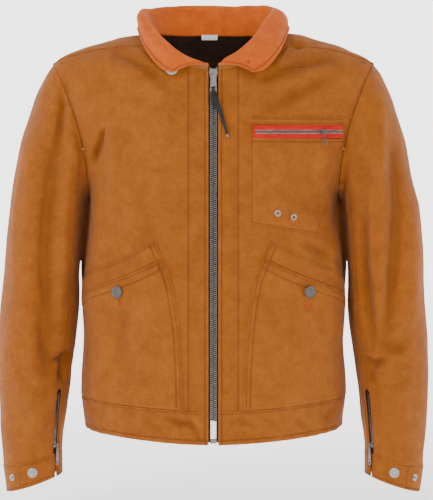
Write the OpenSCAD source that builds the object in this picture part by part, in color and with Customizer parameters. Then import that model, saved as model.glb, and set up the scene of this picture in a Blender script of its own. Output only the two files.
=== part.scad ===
// Zip-front work jacket, hanging as worn: canvas shell, turned-down collar, waistband,
// zipped sleeves with snap cuffs, two hand pockets and one zipped chest pocket.
// +Z up, the front faces -Y, +X is the wearer's left.
// The origin is the centre of the neck opening, level with the back neck seam.

/* [Body] */
// Half the body's width at the waistband
band_half_w = 195; // [190:1:200]
// Half the body's width under the arms
chest_half_w = 186; // [183:1:189]
// Height of the top of the waistband below the neck
waist_z = -552; // [-556:1:-548]
// Height of the bottom hem below the neck
hem_z = -600; // [-606:1:-596]
// How much the hem rises at the sides
side_rise = 11; // [0:1:16]
// Thickness of the shell cloth
cloth = 2.4; // [1.6:0.2:2.6]

/* [Neck and collar] */
// Half the width of the neck opening
neck_half_w = 88; // [84:1:90]
// Depth of the front neck point below the back neck seam
neck_drop = 54; // [50:1:58]
// Thickness of each of the collar's two layers
collar_ply = 1.4; // [1:0.1:1.6]

/* [Sleeves] */
// Share of the sleeve's length where the cuff begins
cuff_start = 0.935; // [0.92:0.005:0.95]
// Length of the sleeve zips
sleeve_zip_len = 108; // [90:1:115]

/* [Front zip] */
// Half the gap between the front edges, where the zip shows
zip_gap = 7; // [6.8:0.1:8]
// Pitch of the teeth on one side
tooth_pitch = 3; // [2.5:0.1:3.5]
// How far below the neck point the slider rests
slider_rest = 9; // [8:1:20]
// Angle at which the pull tab rests, from straight down
tab_lean = 17; // [0:1:20]

/* [Pockets] */
// Diameter of the pocket and collar buttons
button_d = 18; // [15:0.5:19]
// Radius of the holes in the chest pocket's eyelets
eyelet_r = 2.5; // [2:0.1:3]

/* [Hidden] */

canvas = "#b06a2c";
orange = "#d2691e";
metal = "#b9b6ae";
dark = "#1c1a1a";
red = "#d8261c";
lining = "#5a3218";
$fn = 32;

// Exponent of the body's cross-section: 2 is an ellipse, more is squarer
squareness = 2.25;
armpit_z = -240;
shoulder_z = -48;
yoke_z = -110;
arm_half_w = 238;
front_seam_z = -19.5;

// Half-width of the body's cross-section by height. Above the armpit it takes in the shoulder.
WIDTHS = [
    [hem_z, band_half_w - 6], [waist_z, band_half_w], [-470, 192], [-385, 196], [-320, 191],
    [-270, chest_half_w], [armpit_z, chest_half_w], [-215, 196], [-183, 213], [-148, 235],
    [-104, 256], [-75, 256], [-60, 249], [shoulder_z, arm_half_w], [-40, 228], [-30, 207],
    [-20, 182], [-10, 147], [-4, 118], [0, neck_half_w]];
// Depth behind the neck's centre by height
BACKS = [
    [hem_z, 122], [waist_z, 127], [-450, 124], [-330, 131], [-250, 143], [-150, 146],
    [-100, 138], [-60, 122], [-30, 102], [-10, 78], [0, 56]];
// The front is straight below the neck, so that the zip is straight
zip_top = [0, -88, -neck_drop];
zip_foot = [0, -140, hem_z + 1];
zip_len = norm(zip_top - zip_foot);
zip_tilt = -atan2(zip_top.y - zip_foot.y, zip_top.z - zip_foot.z);
NECK_FRONTS = [[-neck_drop, 88], [shoulder_z, 86], [-30, 70], [-15, 48], [-5, 24], [0, 8]];
// The front shoulder seam, which lies forward of the shoulder's ridge
SHOULDER_SEAM = [
    [shoulder_z, arm_half_w], [-40, 216], [-32, 190], [-26, 165], [-21, 120], [front_seam_z, 84]];

// ---- curves ----

function span(t, x, i = 0) = i >= len(t) - 2 || x <= t[i + 1][0] ? i : span(t, x, i + 1);
function slope(t, i) =
    let (a = max(i - 1, 0), b = min(i + 1, len(t) - 1)) (t[b][1] - t[a][1]) / (t[b][0] - t[a][0]);
// A smooth curve through a table's rows of [x, value], where a value may be a point
function along(t, x) =
    let (i = span(t, x), h = t[i + 1][0] - t[i][0], u = min(max((x - t[i][0]) / h, 0), 1))
    t[i][1] * (1 + 2 * u) * (1 - u) * (1 - u) + t[i + 1][1] * u * u * (3 - 2 * u)
    + slope(t, i) * h * u * (1 - u) * (1 - u) - slope(t, i + 1) * h * u * u * (1 - u);
function mix(a, b, t) = a + (b - a) * t;
function unit(v) = v / norm(v);

// ---- the body's surface, by height z and angle th from the front centre towards +X ----

function half_w(z) = along(WIDTHS, z);
function front_d(z) =
    z > -neck_drop ? along(NECK_FRONTS, z)
    : 88 + (-neck_drop - z) * (zip_top.y - zip_foot.y) / (zip_top.z - zip_foot.z);
function back_d(z) = along(BACKS, z);
function rise(z, th) = side_rise * pow(sin(th), 2) * min(max((-400 - z) / 150, 0), 1);
function radius(z, th) =
    let (d = cos(th) > 0 ? front_d(z) : back_d(z))
    pow(pow(abs(sin(th)) / half_w(z), squareness) + pow(abs(cos(th)) / d, squareness), -1 / squareness);
function body(z, th) =
    let (r = radius(z, th)) [r * sin(th), -r * cos(th), z + rise(z, th)];
function body_normal(z, th) =
    let (e = 0.5, zl = min(max(z, hem_z + e), -e))
    unit(cross(body(zl, th + e) - body(zl, th - e), body(zl + e, th) - body(zl - e, th)));
// The angle of the front point at x, and of the back point at x
function inset(x, z) = pow(max(0, 1 - pow(min(abs(x) / half_w(z), 1), squareness)), 1 / squareness);
function front_angle(x, z) = atan2(x, front_d(z) * inset(x, z));
function back_angle(x, z) = 180 - atan2(x, back_d(z) * inset(x, z));

function arm_x(z) =
    chest_half_w + (arm_half_w - chest_half_w) * pow((z - armpit_z) / (shoulder_z - armpit_z), 2);
function neck_x(z) = neck_half_w * sqrt(max(0, 1 - pow(z / neck_drop, 2)));
function front_in(z) = front_angle(z <= -neck_drop ? zip_gap : max(zip_gap, neck_x(z)), z);
function front_out(z) =
    z <= armpit_z ? 90
    : z <= shoulder_z ? front_angle(min(arm_x(z), half_w(z)), z)
    : front_angle(along(SHOULDER_SEAM, z), z);
function back_out(z) =
    z <= armpit_z ? 90
    : z <= shoulder_z ? back_angle(min(arm_x(z), half_w(z)), z)
    : z <= front_seam_z ? front_out(z) : front_angle(neck_x(z), z);

// ---- shells of cloth, from a grid of [point, normal] ----

// A closed solid between offsets lo and hi from a grid of rows. Each grid entry is
// [point, normal, lift], and lift is added to both offsets.
module shell(grid, lo, hi) {
    rows = len(grid);
    cols = len(grid[0]);
    outer = [for (row = grid, p = row) p[0] + p[1] * (hi + p[2])];
    inner = [for (row = grid, p = row) p[0] + p[1] * (lo + p[2])];
    function at(i, j, side) = side * rows * cols + i * cols + j;
    // Each cell is cut along whichever diagonal stands further out
    function bulges(i, j) =
        (grid[i][j][0] + grid[i + 1][j + 1][0] - grid[i + 1][j][0] - grid[i][j + 1][0]) * grid[i][j][1] > 0;
    sheets = [for (i = [0:rows - 2], j = [0:cols - 2])
        let (a = [i, j], b = [i + 1, j], c = [i + 1, j + 1], d = [i, j + 1])
        for (t = bulges(i, j) ? [[a, b, c], [a, c, d]] : [[a, b, d], [b, c, d]]) each [
            [for (k = [0, 1, 2]) at(t[k].x, t[k].y, 0)],
            [for (k = [2, 1, 0]) at(t[k].x, t[k].y, 1)]]];
    ends = [for (j = [0:cols - 2]) each [
        [at(0, j, 0), at(0, j + 1, 0), at(0, j + 1, 1)],
        [at(0, j, 0), at(0, j + 1, 1), at(0, j, 1)],
        [at(rows - 1, j, 0), at(rows - 1, j + 1, 1), at(rows - 1, j + 1, 0)],
        [at(rows - 1, j, 0), at(rows - 1, j, 1), at(rows - 1, j + 1, 1)]]];
    sides = [for (i = [0:rows - 2]) each [
        [at(i, 0, 0), at(i + 1, 0, 1), at(i + 1, 0, 0)],
        [at(i, 0, 0), at(i, 0, 1), at(i + 1, 0, 1)],
        [at(i, cols - 1, 0), at(i + 1, cols - 1, 0), at(i + 1, cols - 1, 1)],
        [at(i, cols - 1, 0), at(i + 1, cols - 1, 1), at(i, cols - 1, 1)]]];
    polyhedron(concat(outer, inner), concat(sheets, ends, sides), convexity = 8);
}

function body_cell(z, th, lift = 0) = [body(z, th), body_normal(z, th), lift];
// A grid on the body between two angle functions, given as lists by row
function body_grid(zs, ins, outs, cols) =
    [for (i = [0:len(zs) - 1]) [for (j = [0:cols]) body_cell(zs[i], mix(ins[i], outs[i], j / cols))]];
// The same, with narrower cells towards both sides
function back_grid(zs, ins, outs, cols) =
    [for (i = [0:len(zs) - 1]) [for (j = [0:cols])
        body_cell(zs[i], mix(ins[i], outs[i], j / cols - sin(360 * j / cols) * 0.09))]];
module on_right() { mirror([1, 0, 0]) children(); }

// ---- shell panels ----

FRONT_ROWS = [
    waist_z + 0.3, -520, -480, -440, -400, -360, -320, -285, -262, armpit_z - 2, -234, -224, -208,
    -186, -162, -138, -114, -92, -72, -58, -neck_drop, -50.5, shoulder_z + 0.2, -43, -37, -30.5, -25, -20.2];
front_cols = 9;
module front_panel() {
    color(canvas)
        shell(body_grid(FRONT_ROWS, [for (z = FRONT_ROWS) front_in(z)],
            [for (z = FRONT_ROWS) front_out(z) - 0.1], front_cols), -cloth, 0);
}

BACK_ROWS = [
    waist_z + 0.3, -515, -475, -430, -385, -340, -300, -265, armpit_z - 2, -234, -222, -204, -180,
    -156, -132, yoke_z - 0.3];
module back_panel() {
    color(canvas)
        shell(back_grid(BACK_ROWS, [for (z = BACK_ROWS) back_out(z) + 0.1],
            [for (z = BACK_ROWS) 359.9 - back_out(z)], 20), -cloth, 0);
}

YOKE_ROWS = [
    yoke_z + 0.3, -90, -72, -58, shoulder_z, -43, -37, -30.5, -25, -19.8, -14, -8, -3, -0.6];
module shoulder_yoke() {
    color(canvas)
        shell(back_grid(YOKE_ROWS, [for (z = YOKE_ROWS) back_out(z) + 0.2],
            [for (z = YOKE_ROWS) 359.8 - back_out(z)], 28), -cloth, 0);
}

BAND_ROWS = [hem_z, hem_z + 14, waist_z - 14, waist_z - 0.3];
band_proud = 0.8;
module waistband_front() {
    color(canvas)
        shell(body_grid(BAND_ROWS, [for (z = BAND_ROWS) front_in(z)], [for (z = BAND_ROWS) 89.9], front_cols),
            -cloth, band_proud);
}
module waistband_back() {
    color(canvas)
        shell(body_grid(BAND_ROWS, [for (z = BAND_ROWS) 90.1], [for (z = BAND_ROWS) 269.9], 20),
            -cloth, band_proud);
}

FACING_ROWS = [waist_z + 4, -500, -440, -380, -320, -260, -200, -150, -100, -62];
placket_x = 36;
facing_lo = -5.1;
facing_hi = -4;
module front_facing() {
    color(lining)
        shell(body_grid(FACING_ROWS, [for (z = FACING_ROWS) front_angle(zip_gap + 3, z)],
            [for (z = FACING_ROWS) front_angle(placket_x, z)], 3), facing_lo, facing_hi);
}

LINING_ROWS = [-86, -66, shoulder_z, -34, -24, -14, -6, -1.5];
module neck_lining() {
    color(lining)
        shell(body_grid(LINING_ROWS, [for (z = LINING_ROWS) 118], [for (z = LINING_ROWS) 242], 12),
            -cloth - 1.6, -cloth - 0.4);
}
label_w = 24;
label_h = 8;
label_x = -6;
label_y = 48;
module size_label() {
    color("ivory") translate([label_x - label_w / 2, label_y, -2 - label_h]) cube([label_w, 0.5, label_h]);
}

// ---- collar ----

// The neck seam by angle from the front: level behind, falling in front
function neck(b) =
    let (z = b < 90 ? -neck_drop * cos(b) : 0, x = neck_half_w * sin(b))
    [x, b < 90 ? -front_d(z) * inset(x, z) : back_d(0) * inset(x, 0), z];
collar_front = 5;
// Where the collar rolls over, and where its leaf ends, by the same angle
ROLL = [
    [collar_front, [9, -94, -51]], [25, [37, -93, -38]], [45, [61, -75, -17]], [65, [80, -44, 6]],
    [90, [97, -2, 31]], [120, [89, 38, 38]], [150, [55, 65, 42]], [180, [0, 74, 43]]];
LEAF = [
    [collar_front, [58, -95.5, -62.5]], [25, [72, -94.5, -59]], [45, [86, -87, -47]], [65, [100, -66, -26]],
    [90, [111, -12, 3]], [120, [104, 46, -1]], [150, [63, 87, -10]], [180, [0, 99, -14]]];
stand_up = 1.8;
function collar_path(b, v) =
    let (n = neck(b) + [0, 0, stand_up], r = along(ROLL, b), e = along(LEAF, b),
        out = unit([r.x, r.y, 0]),
        rows = [[0, n], [0.22, (n + r) / 2 - out * 1.5], [0.45, r + [0, 0, -1]],
            [0.7, (r + e) / 2 + out * 4 + [0, 0, 4]], [1, e]])
    along(rows, v);
function collar_point(u, v) =
    let (b = 180 - abs(u) * (180 - collar_front), p = collar_path(b, v)) [sign(u) * p.x, p.y, p.z];
function collar_cell(u, v) =
    let (e = 0.01, w = abs(u) < e ? (u < 0 ? -e : e) : u,
        du = collar_point(min(u + e, 1), v) - collar_point(max(u - e, -1), v),
        dv = collar_point(u, min(v + e, 1)) - collar_point(u, max(v - e, 0)))
    [collar_point(abs(u) < 1e-6 ? 1e-6 : u, v), unit(cross(du, dv)), 0];
COLLAR_U = [for (i = [-14:14]) i / 14];
COLLAR_V = [0, 0.12, 0.24, 0.34, 0.42, 0.5, 0.6, 0.72, 0.86, 1];
function collar_grid() = [for (v = COLLAR_V) [for (u = COLLAR_U) collar_cell(u, v)]];
module collar_layer(lo, hi) { shell(collar_grid(), lo, hi); }

// ---- sleeves ----

// Rows of [share of the length, [outer x, outer z, inner x, inner z, centre y, half depth]]
SLEEVE = [
    [0, [238, -48, 186, -240, 12, 70]], [0.05, [252, -68, 188, -246, 11, 73]],
    [0.12, [269, -102, 190, -253, 10, 76]], [0.22, [287, -160, 192, -263, 9, 76]],
    [0.34, [302, -245, 195, -288, 8, 73]], [0.46, [313, -330, 199, -342, 6, 70]],
    [0.6, [321, -436, 204, -436, 0, 66]], [0.7, [323, -500, 213, -495, -7, 60]],
    [0.82, [319, -572, 221, -561, -18, 53]], [cuff_start, [313, -642, 226, -621, -33, 46]],
    [1, [307, -682, 225, -655, -42, 43]]];
arm_mid_z = (armpit_z + shoulder_z) / 2;
arm_half_z = (shoulder_z - armpit_z) / 2;
// The armhole seam on the body, by angle from the shoulder point towards the front
function armhole(a) =
    let (z = arm_mid_z + arm_half_z * cos(a), x = arm_x(z), i = inset(x, z))
    [x, sin(a) >= 0 ? -front_d(z) * i : back_d(z) * i, z];
function ring(s, a) =
    let (k = along(SLEEVE, s))
    [(k[0] + k[2]) / 2 + (k[0] - k[2]) / 2 * cos(a), k[4] - k[5] * sin(a),
        (k[1] + k[3]) / 2 + (k[1] - k[3]) / 2 * cos(a)];
blend_end = 0.16;
function sleeve(s, a) =
    let (w = pow(max(0, 1 - s / blend_end), 2)) ring(s, a) + (armhole(a) - ring(0, a)) * w;
function sleeve_normal(s, a) =
    let (e = 0.004, sl = min(max(s, e), 1 - e))
    unit(cross(sleeve(sl, a + 1) - sleeve(sl, a - 1), sleeve(sl + e, a) - sleeve(sl - e, a)));
function sleeve_cell(s, a, lift = 0) = [sleeve(s, a), sleeve_normal(s, a), lift];
function sleeve_grid(ss, from, to, cols) =
    [for (s = ss) [for (j = [0:cols]) sleeve_cell(s, mix(from, to, j / cols))]];

inner_seam = 145;
back_seam = -105;
seam_gap = 0.3;
// The inner seam opens below this share of the length, where the zip is
sleeve_zip_top = cuff_start - sleeve_zip_len / 640;
function seam_half(s) = s > sleeve_zip_top ? 5.6 : seam_gap;
SLEEVE_ROWS = [
    0.004, 0.03, 0.07, 0.12, 0.2, 0.29, 0.38, 0.47, 0.56, 0.64, 0.72,
    sleeve_zip_top - 0.006, sleeve_zip_top + 0.002, 0.86, cuff_start - 0.001];
module sleeve_top() {
    color(canvas)
        shell([
            for (s = SLEEVE_ROWS)
                sleeve_grid([s], back_seam + seam_gap, inner_seam - seam_half(s), 14)[0]],
            -cloth, 0);
}
module sleeve_under() {
    color(canvas)
        shell([for (s = SLEEVE_ROWS)
            sleeve_grid([s], inner_seam + seam_half(s), 360 + back_seam - seam_gap, 7)[0]], -cloth, 0);
}
CUFF_ROWS = [cuff_start + 0.001, 0.96, 0.98, 1];
cuff_proud = 0.4;
module cuff() {
    color(canvas)
        shell(sleeve_grid(CUFF_ROWS, inner_seam - 357, inner_seam - 2, 20), -cloth, cuff_proud);
}

// ---- placing things on the surfaces ----

// Puts +Z along the direction v, from the point p
module facing(p, v) {
    translate(p) rotate([0, acos(v.z), atan2(v.y, v.x)]) children();
}
module on_front(x, z, lift = 0) {
    a = front_angle(x, z);
    facing(body(z, a) + body_normal(z, a) * lift, body_normal(z, a)) children();
}
module on_sleeve(s, a, lift = 0) {
    facing(sleeve(s, a) + sleeve_normal(s, a) * lift, sleeve_normal(s, a)) children();
}

// ---- cuff tab and snaps ----

tab_lift = 1.1;
tab_root = 133;
tab_end = 66;
cap_angle = 93;
spare_angle = 48;
snap_s = 0.967;
snap_hole_r = 3.2;
module cuff_tab() {
    color(canvas) difference() {
        shell(sleeve_grid([cuff_start + 0.004, 0.953, 0.967, 0.981, 0.996], tab_end, tab_root, 8),
            tab_lift, tab_lift + 1.9);
        on_sleeve(snap_s, cap_angle) cylinder(r = snap_hole_r, h = 8);
    }
}
cap_r = 7.6;
module snap_cap() {
    color(metal) on_sleeve(snap_s, cap_angle, tab_lift + 1.75) rotate_extrude()
        polygon([[0, 0], [cap_r - 1.2, 0], [cap_r, 0.5], [cap_r, 1.3], [cap_r - 1.6, 2.1], [cap_r - 2.2, 1.8],
            [0, 2.2]]);
}
stud_r = 5.2;
module stud(height) {
    difference() {
        cylinder(r = stud_r, h = 0.6);
        translate([0, 0, 0.3]) cylinder(r = stud_r - 1.1, h = 1);
    }
    cylinder(r = 1.7, h = height);
}
module snap_studs() {
    color(metal) {
        on_sleeve(snap_s, cap_angle, cuff_proud + 0.15) cylinder(r = 2.2, h = 2.2);
        on_sleeve(snap_s, spare_angle, cuff_proud + 0.3) stud(2.6);
    }
}

// ---- zips ----

// One side of a metal zip along +Z from 0 to length, with teeth towards -X.
// The cord's face is at x = root, and the tape stands on the XZ plane.
module teeth_side(length, pitch, root, tip, thick, phase) {
    count = floor(length / pitch) - 1;
    comb = concat([[root, 0], [root, length]],
        [for (i = [count:-1:0]) let (z = i * pitch + phase) each [
            [root - 0.8, z + pitch * 0.5], [tip, z + pitch * 0.42], [tip, z + pitch * 0.08],
            [root - 0.8, z]]]);
    translate([0, thick / 2, 0]) rotate([90, 0, 0]) linear_extrude(thick) polygon(comb);
}
// A slider's body about a chain on the XZ plane, wide end up: two plates, a web between them
// that runs in the slot between the two rows of teeth, and flanges that stop short of the tape.
// w is a half-width, and chain and tape are how far the plates and flanges stand from the XZ plane.
web = 0.4;
module slider_body(w, h, chain, tape, plate) {
    shape = [[-w * 0.66, 0], [w * 0.66, 0], [w, h * 0.6], [w * 0.86, h], [-w * 0.86, h], [-w, h * 0.6]];
    flange = 1;
    for (side = [-1, 1]) {
        translate([0, side > 0 ? chain + plate : -chain, 0])
            rotate([90, 0, 0]) linear_extrude(plate) polygon(shape);
        for (x = [-1, 1]) translate([x * (w * 0.83 - flange / 2) - flange / 2 + x * 0.2,
            side > 0 ? tape : -chain - 0.01, h * 0.56])
            cube([flange, chain - tape + 0.01, h * 0.3]);
    }
    translate([-web / 2, -chain - 0.01, h * 0.6]) cube([web, 2 * chain + 0.02, h * 0.4]);
}

zip_depth = 3.1;
module at_zip(z = 0) {
    translate(zip_top) rotate([zip_tilt, 0, 0]) translate([0, 0, z]) children();
}
chain_foot = -zip_len + 9;
chain_top = -1.5;
tooth_thick = 2.8;
module zip_tape() {
    color(dark) at_zip(-zip_len + 3)
        translate([4.05, zip_depth - 0.35, 0]) cube([12.9, 0.7, zip_len - 3.5]);
}
module zip_teeth(phase) {
    color(metal) at_zip(chain_foot) translate([0, zip_depth, 0])
        teeth_side(chain_top - chain_foot, tooth_pitch, 4, 0.3, tooth_thick, phase);
}
module zip_pin_box() {
    color(metal) at_zip(-zip_len + 1.5) translate([0, zip_depth, 0]) {
        translate([-4.6, -2.2, 0]) cube([9.2, 1.1, 7]);
        translate([-4.6, 1.1, 0]) cube([9.2, 1.1, 7]);
        for (x = [-3.95, 3.35]) translate([x, -1.2, 0]) cube([0.6, 2.4, 7]);
    }
}
module zip_stops() {
    color(metal) for (x = [-1, 1])
        at_zip(chain_top + 0.05) translate([x * 4.9 - 0.8, zip_depth - 1.4, -1.3]) cube([1.6, 1, 2.6]);
}
slider_h = 15;
slider_w = 6.2;
slider_foot = -slider_rest - slider_h + 6;
lug_y = -4.2;
lug_z = 9.5;
pin_r = 0.8;
module zip_slider() {
    color(metal) at_zip(slider_foot) {
        translate([0, zip_depth, 0]) slider_body(slider_w, slider_h, 1.75, 0.7, 1.5);
        // The lug holds the pull's pin between two ears
        for (x = [-1, 1]) difference() {
            translate([x * 3.4 - 0.7, lug_y - 1.8, lug_z - 2.2])
                cube([1.4, zip_depth - 2.6 - lug_y + 1.8, 4.4]);
            translate([-6, lug_y, lug_z]) rotate([0, 90, 0]) cylinder(r = pin_r + 0.05, h = 12);
        }
    }
}
pull_len = 27;
pull_thick = 1.8;
bar_z = lug_z - pull_len + 1.5;
slot_w = 3.6;
module zip_pull() {
    color(metal) at_zip(slider_foot) {
        translate([0, lug_y + pull_thick / 2, 0]) rotate([90, 0, 0]) linear_extrude(pull_thick)
            difference() {
                polygon([[-2.4, lug_z + 1.8], [2.4, lug_z + 1.8], [2.4, lug_z - 2.6],
                    [3.2, lug_z - 7], [5.2, bar_z - 1],
                    [5.2, bar_z - 2.6], [4, bar_z - 2.6], [3.4, bar_z - 1], [-3.4, bar_z - 1],
                    [-4, bar_z - 2.6], [-5.2, bar_z - 2.6], [-5.2, bar_z - 1],
                    [-3.2, lug_z - 7], [-2.4, lug_z - 2.6]]);
                polygon([[-slot_w, bar_z + 1], [slot_w, bar_z + 1], [slot_w * 0.9, bar_z + 4.6],
                    [-slot_w * 0.9, bar_z + 4.6]]);
            }
        translate([-4.1, lug_y, lug_z]) rotate([0, 90, 0]) cylinder(r = pin_r, h = 8.2);
    }
}
// A leather strip through the pull's slot and folded down over the bar
strip_thick = 1.1;
strip_len = 72;
module pull_tab() {
    gap = pull_thick / 2 + 0.35;
    top = 3.9;
    color(dark) at_zip(slider_foot + bar_z) translate([0, lug_y, 0]) rotate([0, -tab_lean, 0]) {
        for (side = [-1, 1]) translate([0, side > 0 ? gap + strip_thick : -gap, 0])
            rotate([90, 0, 0]) linear_extrude(strip_thick)
                polygon([[-1.5, top], [1.5, top], [1.5, -6], [3.4, -14], [3.2, -40], [1.8, -strip_len],
                    [-1.8, -strip_len], [-3.2, -40], [-3.4, -14], [-1.5, -6]]);
        translate([-1.5, -gap - strip_thick / 2, top - strip_thick])
            cube([3, 2 * gap + strip_thick, strip_thick]);
        translate([-1.6, -gap - strip_thick / 2, -strip_len + 1]) cube([3.2, 2 * gap + strip_thick, 3]);
    }
}

// ---- sleeve zips ----

sz_depth = 4.5;
sz_foot = sleeve(cuff_start - 0.006, inner_seam) - sleeve_normal(cuff_start - 0.006, inner_seam) * sz_depth;
sz_top = sleeve(sleeve_zip_top, inner_seam) - sleeve_normal(sleeve_zip_top, inner_seam) * sz_depth;
sz_dir = unit(sz_top - sz_foot);
sz_out = unit(sleeve_normal(0.86, inner_seam) - sz_dir * (sleeve_normal(0.86, inner_seam) * sz_dir));
sz_side = cross(-sz_out, sz_dir);
sz_len = norm(sz_top - sz_foot);
// Local +Z runs up the zip and local -Y points out of the sleeve
module at_sleeve_zip(z = 0) {
    o = sz_foot;
    s = sz_side;
    multmatrix([
        [s.x, -sz_out.x, sz_dir.x, o.x], [s.y, -sz_out.y, sz_dir.y, o.y],
        [s.z, -sz_out.z, sz_dir.z, o.z], [0, 0, 0, 1]]) translate([0, 0, z]) children();
}
module sleeve_zip_tape() {
    color(dark) at_sleeve_zip() for (x = [-1, 1])
        translate([x > 0 ? 2.3 : -5.4, -0.3, 0.5]) cube([3.1, 0.6, sz_len - 2]);
}
sz_chain_foot = 4;
module sleeve_zip_teeth() {
    color(metal) at_sleeve_zip(sz_chain_foot) {
        teeth_side(sz_len - 6, 2.4, 2.25, 0.25, 1.8, 0);
        mirror([1, 0, 0]) teeth_side(sz_len - 6, 2.4, 2.25, 0.25, 1.8, 1.2);
    }
}
sz_slider_h = 9;
sz_lug_y = -6.6;
sz_lug_z = 4.4;
module sleeve_slider() {
    color(metal) at_sleeve_zip(sz_chain_foot + 1) mirror([0, 0, 1]) translate([0, 0, -sz_slider_h]) {
        slider_body(3.9, sz_slider_h, 1.2, 0.6, 1);
    }
    color(metal) at_sleeve_zip(sz_chain_foot + 1) for (x = [-1, 1]) difference() {
        translate([x * 2.1 - 0.5, sz_lug_y - 1.2, sz_lug_z - 1.5]) cube([1, -sz_lug_y - 0.5, 3]);
        translate([-4, sz_lug_y, sz_lug_z]) rotate([0, 90, 0]) cylinder(r = 0.6, h = 8);
    }
}
sz_pull_len = 30;
sz_pull_tilt = 5;
module sleeve_pull() {
    foot = -sz_pull_len;
    color(metal) at_sleeve_zip(sz_chain_foot + 1) translate([0, sz_lug_y, sz_lug_z]) {
        rotate([90 - sz_pull_tilt, 0, 0]) translate([0, 0, -0.6]) linear_extrude(1.2) difference() {
            polygon([[-1.3, 1.3], [1.3, 1.3], [1.3, -2], [2.2, -8], [3.4, foot + 1], [2.6, foot],
                [-2.6, foot], [-3.4, foot + 1], [-2.2, -8], [-1.3, -2]]);
            translate([0, foot + 3.6]) circle(r = 1.6);
        }
        translate([-2.6, 0, 0]) rotate([0, 90, 0]) cylinder(r = 0.55, h = 5.2);
    }
}

// ---- hand pockets ----

POCKET_EDGE = [[waist_z, 44], [-480, 46], [-420, 51], [-365, 61], [-331, 74], [-305, 86]];
pocket_ply = 1.8;
pocket_lift = 0.35;
pocket_bulge = 2.2;
mouth_in = -331;
mouth_side = -396;
facing_in = -306;
facing_side = -371;
pocket_side = 87;
function pocket_cell(w, z, lift) =
    body_cell(z, mix(front_angle(along(POCKET_EDGE, z), z), pocket_side, w), lift);
pocket_cols = 8;
function ease(t) = pow(sin(90 * min(max(t, 0), 1)), 2);
function pocket_grid(low_in, low_side, top_in, top_side, rows, bulge) =
    [for (i = [0:rows]) [for (j = [0:pocket_cols])
        let (w = j / pocket_cols, v = i / rows,
            z = mix(mix(low_in, low_side, w), mix(top_in, top_side, w), v))
        pocket_cell(w, z, bulge * ease(w * 4) * ease((1 - w) * 4) * ease(v * 2))]];
button_x = 137;
button_z = -382;
shank_r = 2.2;
module hand_pocket() {
    color(canvas) difference() {
        shell(pocket_grid(waist_z + 0.5, waist_z + 0.5, mouth_in, mouth_side, 8, pocket_bulge),
            pocket_lift, pocket_lift + pocket_ply);
        on_front(button_x, button_z, -1) cylinder(r = shank_r + 0.6, h = 12);
    }
}
module pocket_facing() {
    color(canvas)
        shell(pocket_grid(mouth_in + 0.6, mouth_side + 0.6, facing_in, facing_side, 2, 0),
            pocket_lift, pocket_lift + pocket_ply);
}
// A tack button: a cap with a raised rim on a shank
module tack_button(lift) {
    r = button_d / 2;
    cylinder(r = shank_r, h = lift + 0.2);
    translate([0, 0, lift]) rotate_extrude()
        polygon([
            [0, 0], [r - 1, 0], [r, 0.7], [r, 1.9], [r - 0.8, 2.6], [r - 1.8, 2.3], [r - 2.4, 1.7], [0, 2]]);
}
module pocket_button() {
    color(metal) on_front(button_x, button_z, 0.2) tack_button(6.4);
}
// The collar's button hangs under its right leaf, head towards the front panel
collar_button_x = -60;
collar_button_z = -60.5;
module collar_button() {
    color(metal) on_front(collar_button_x, collar_button_z, 7) mirror([0, 0, 1]) tack_button(3.8);
}

// ---- chest pocket, on the wearer's left ----

CHEST_SIDE = [[-300, 152], [-275, 160], [-235, 171], [-184, 181], [-155, 193], [-125, 193]];
chest_in = 53;
chest_top = -127;
chest_low_in = -281;
chest_low_side = -299;
chest_zip_top = -138.5;
chest_zip_low = -158;
chest_lift = 3.4;
function chest_cell(w, z, lift) =
    let (a = front_angle(chest_in, z), b = front_angle(along(CHEST_SIDE, z), z))
    body_cell(z, mix(a, b, w), lift);
function chest_grid(low_in, low_side, top, rows, cols, flat_top, flat_low) =
    [for (i = [0:rows]) [for (j = [0:cols])
        let (w = j / cols, v = i / rows, z = mix(mix(low_in, low_side, w), top, v))
        chest_cell(w, z, chest_lift * ease(w * 7) * ease((1 - w) * 7)
            * (flat_low ? ease(v * 5) : 1) * (flat_top ? ease((1 - v) * 2) : 1))]];
eyelet_1 = [92, -267];
eyelet_2 = [115, -273];
collar_of_eyelet = 4.7;
module chest_pocket_band() {
    color(canvas)
        shell(chest_grid(chest_zip_top, chest_zip_top, chest_top, 2, 10, true, false), 0.3, 1.9);
}
module chest_pocket_bag() {
    color(canvas) difference() {
        shell(chest_grid(chest_low_in, chest_low_side, chest_zip_low, 10, 14, false, true), 0.3, 1.9);
        for (e = [eyelet_1, eyelet_2]) on_front(e.x, e.y, 0.6) cylinder(r = eyelet_r + 1.3, h = 10);
    }
}
eyelet_len = 3;
module eyelet(e) {
    color(metal) on_front(e.x, e.y, 2.9) rotate_extrude()
        polygon([[eyelet_r, 0], [eyelet_r + 0.9, 0], [eyelet_r + 0.9, 2.45], [collar_of_eyelet, 2.5],
            [collar_of_eyelet, 2.9], [eyelet_r + 0.4, eyelet_len], [eyelet_r, eyelet_len]]);
}

// The chest zip bends round an upright axis through arc_c
arc_c = [43.4, 253];
arc_r = 353.5;
chest_zip_z = -148.3;
arc_from = 2.6;
arc_to = 24.4;
chest_rest = 19.2;
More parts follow.
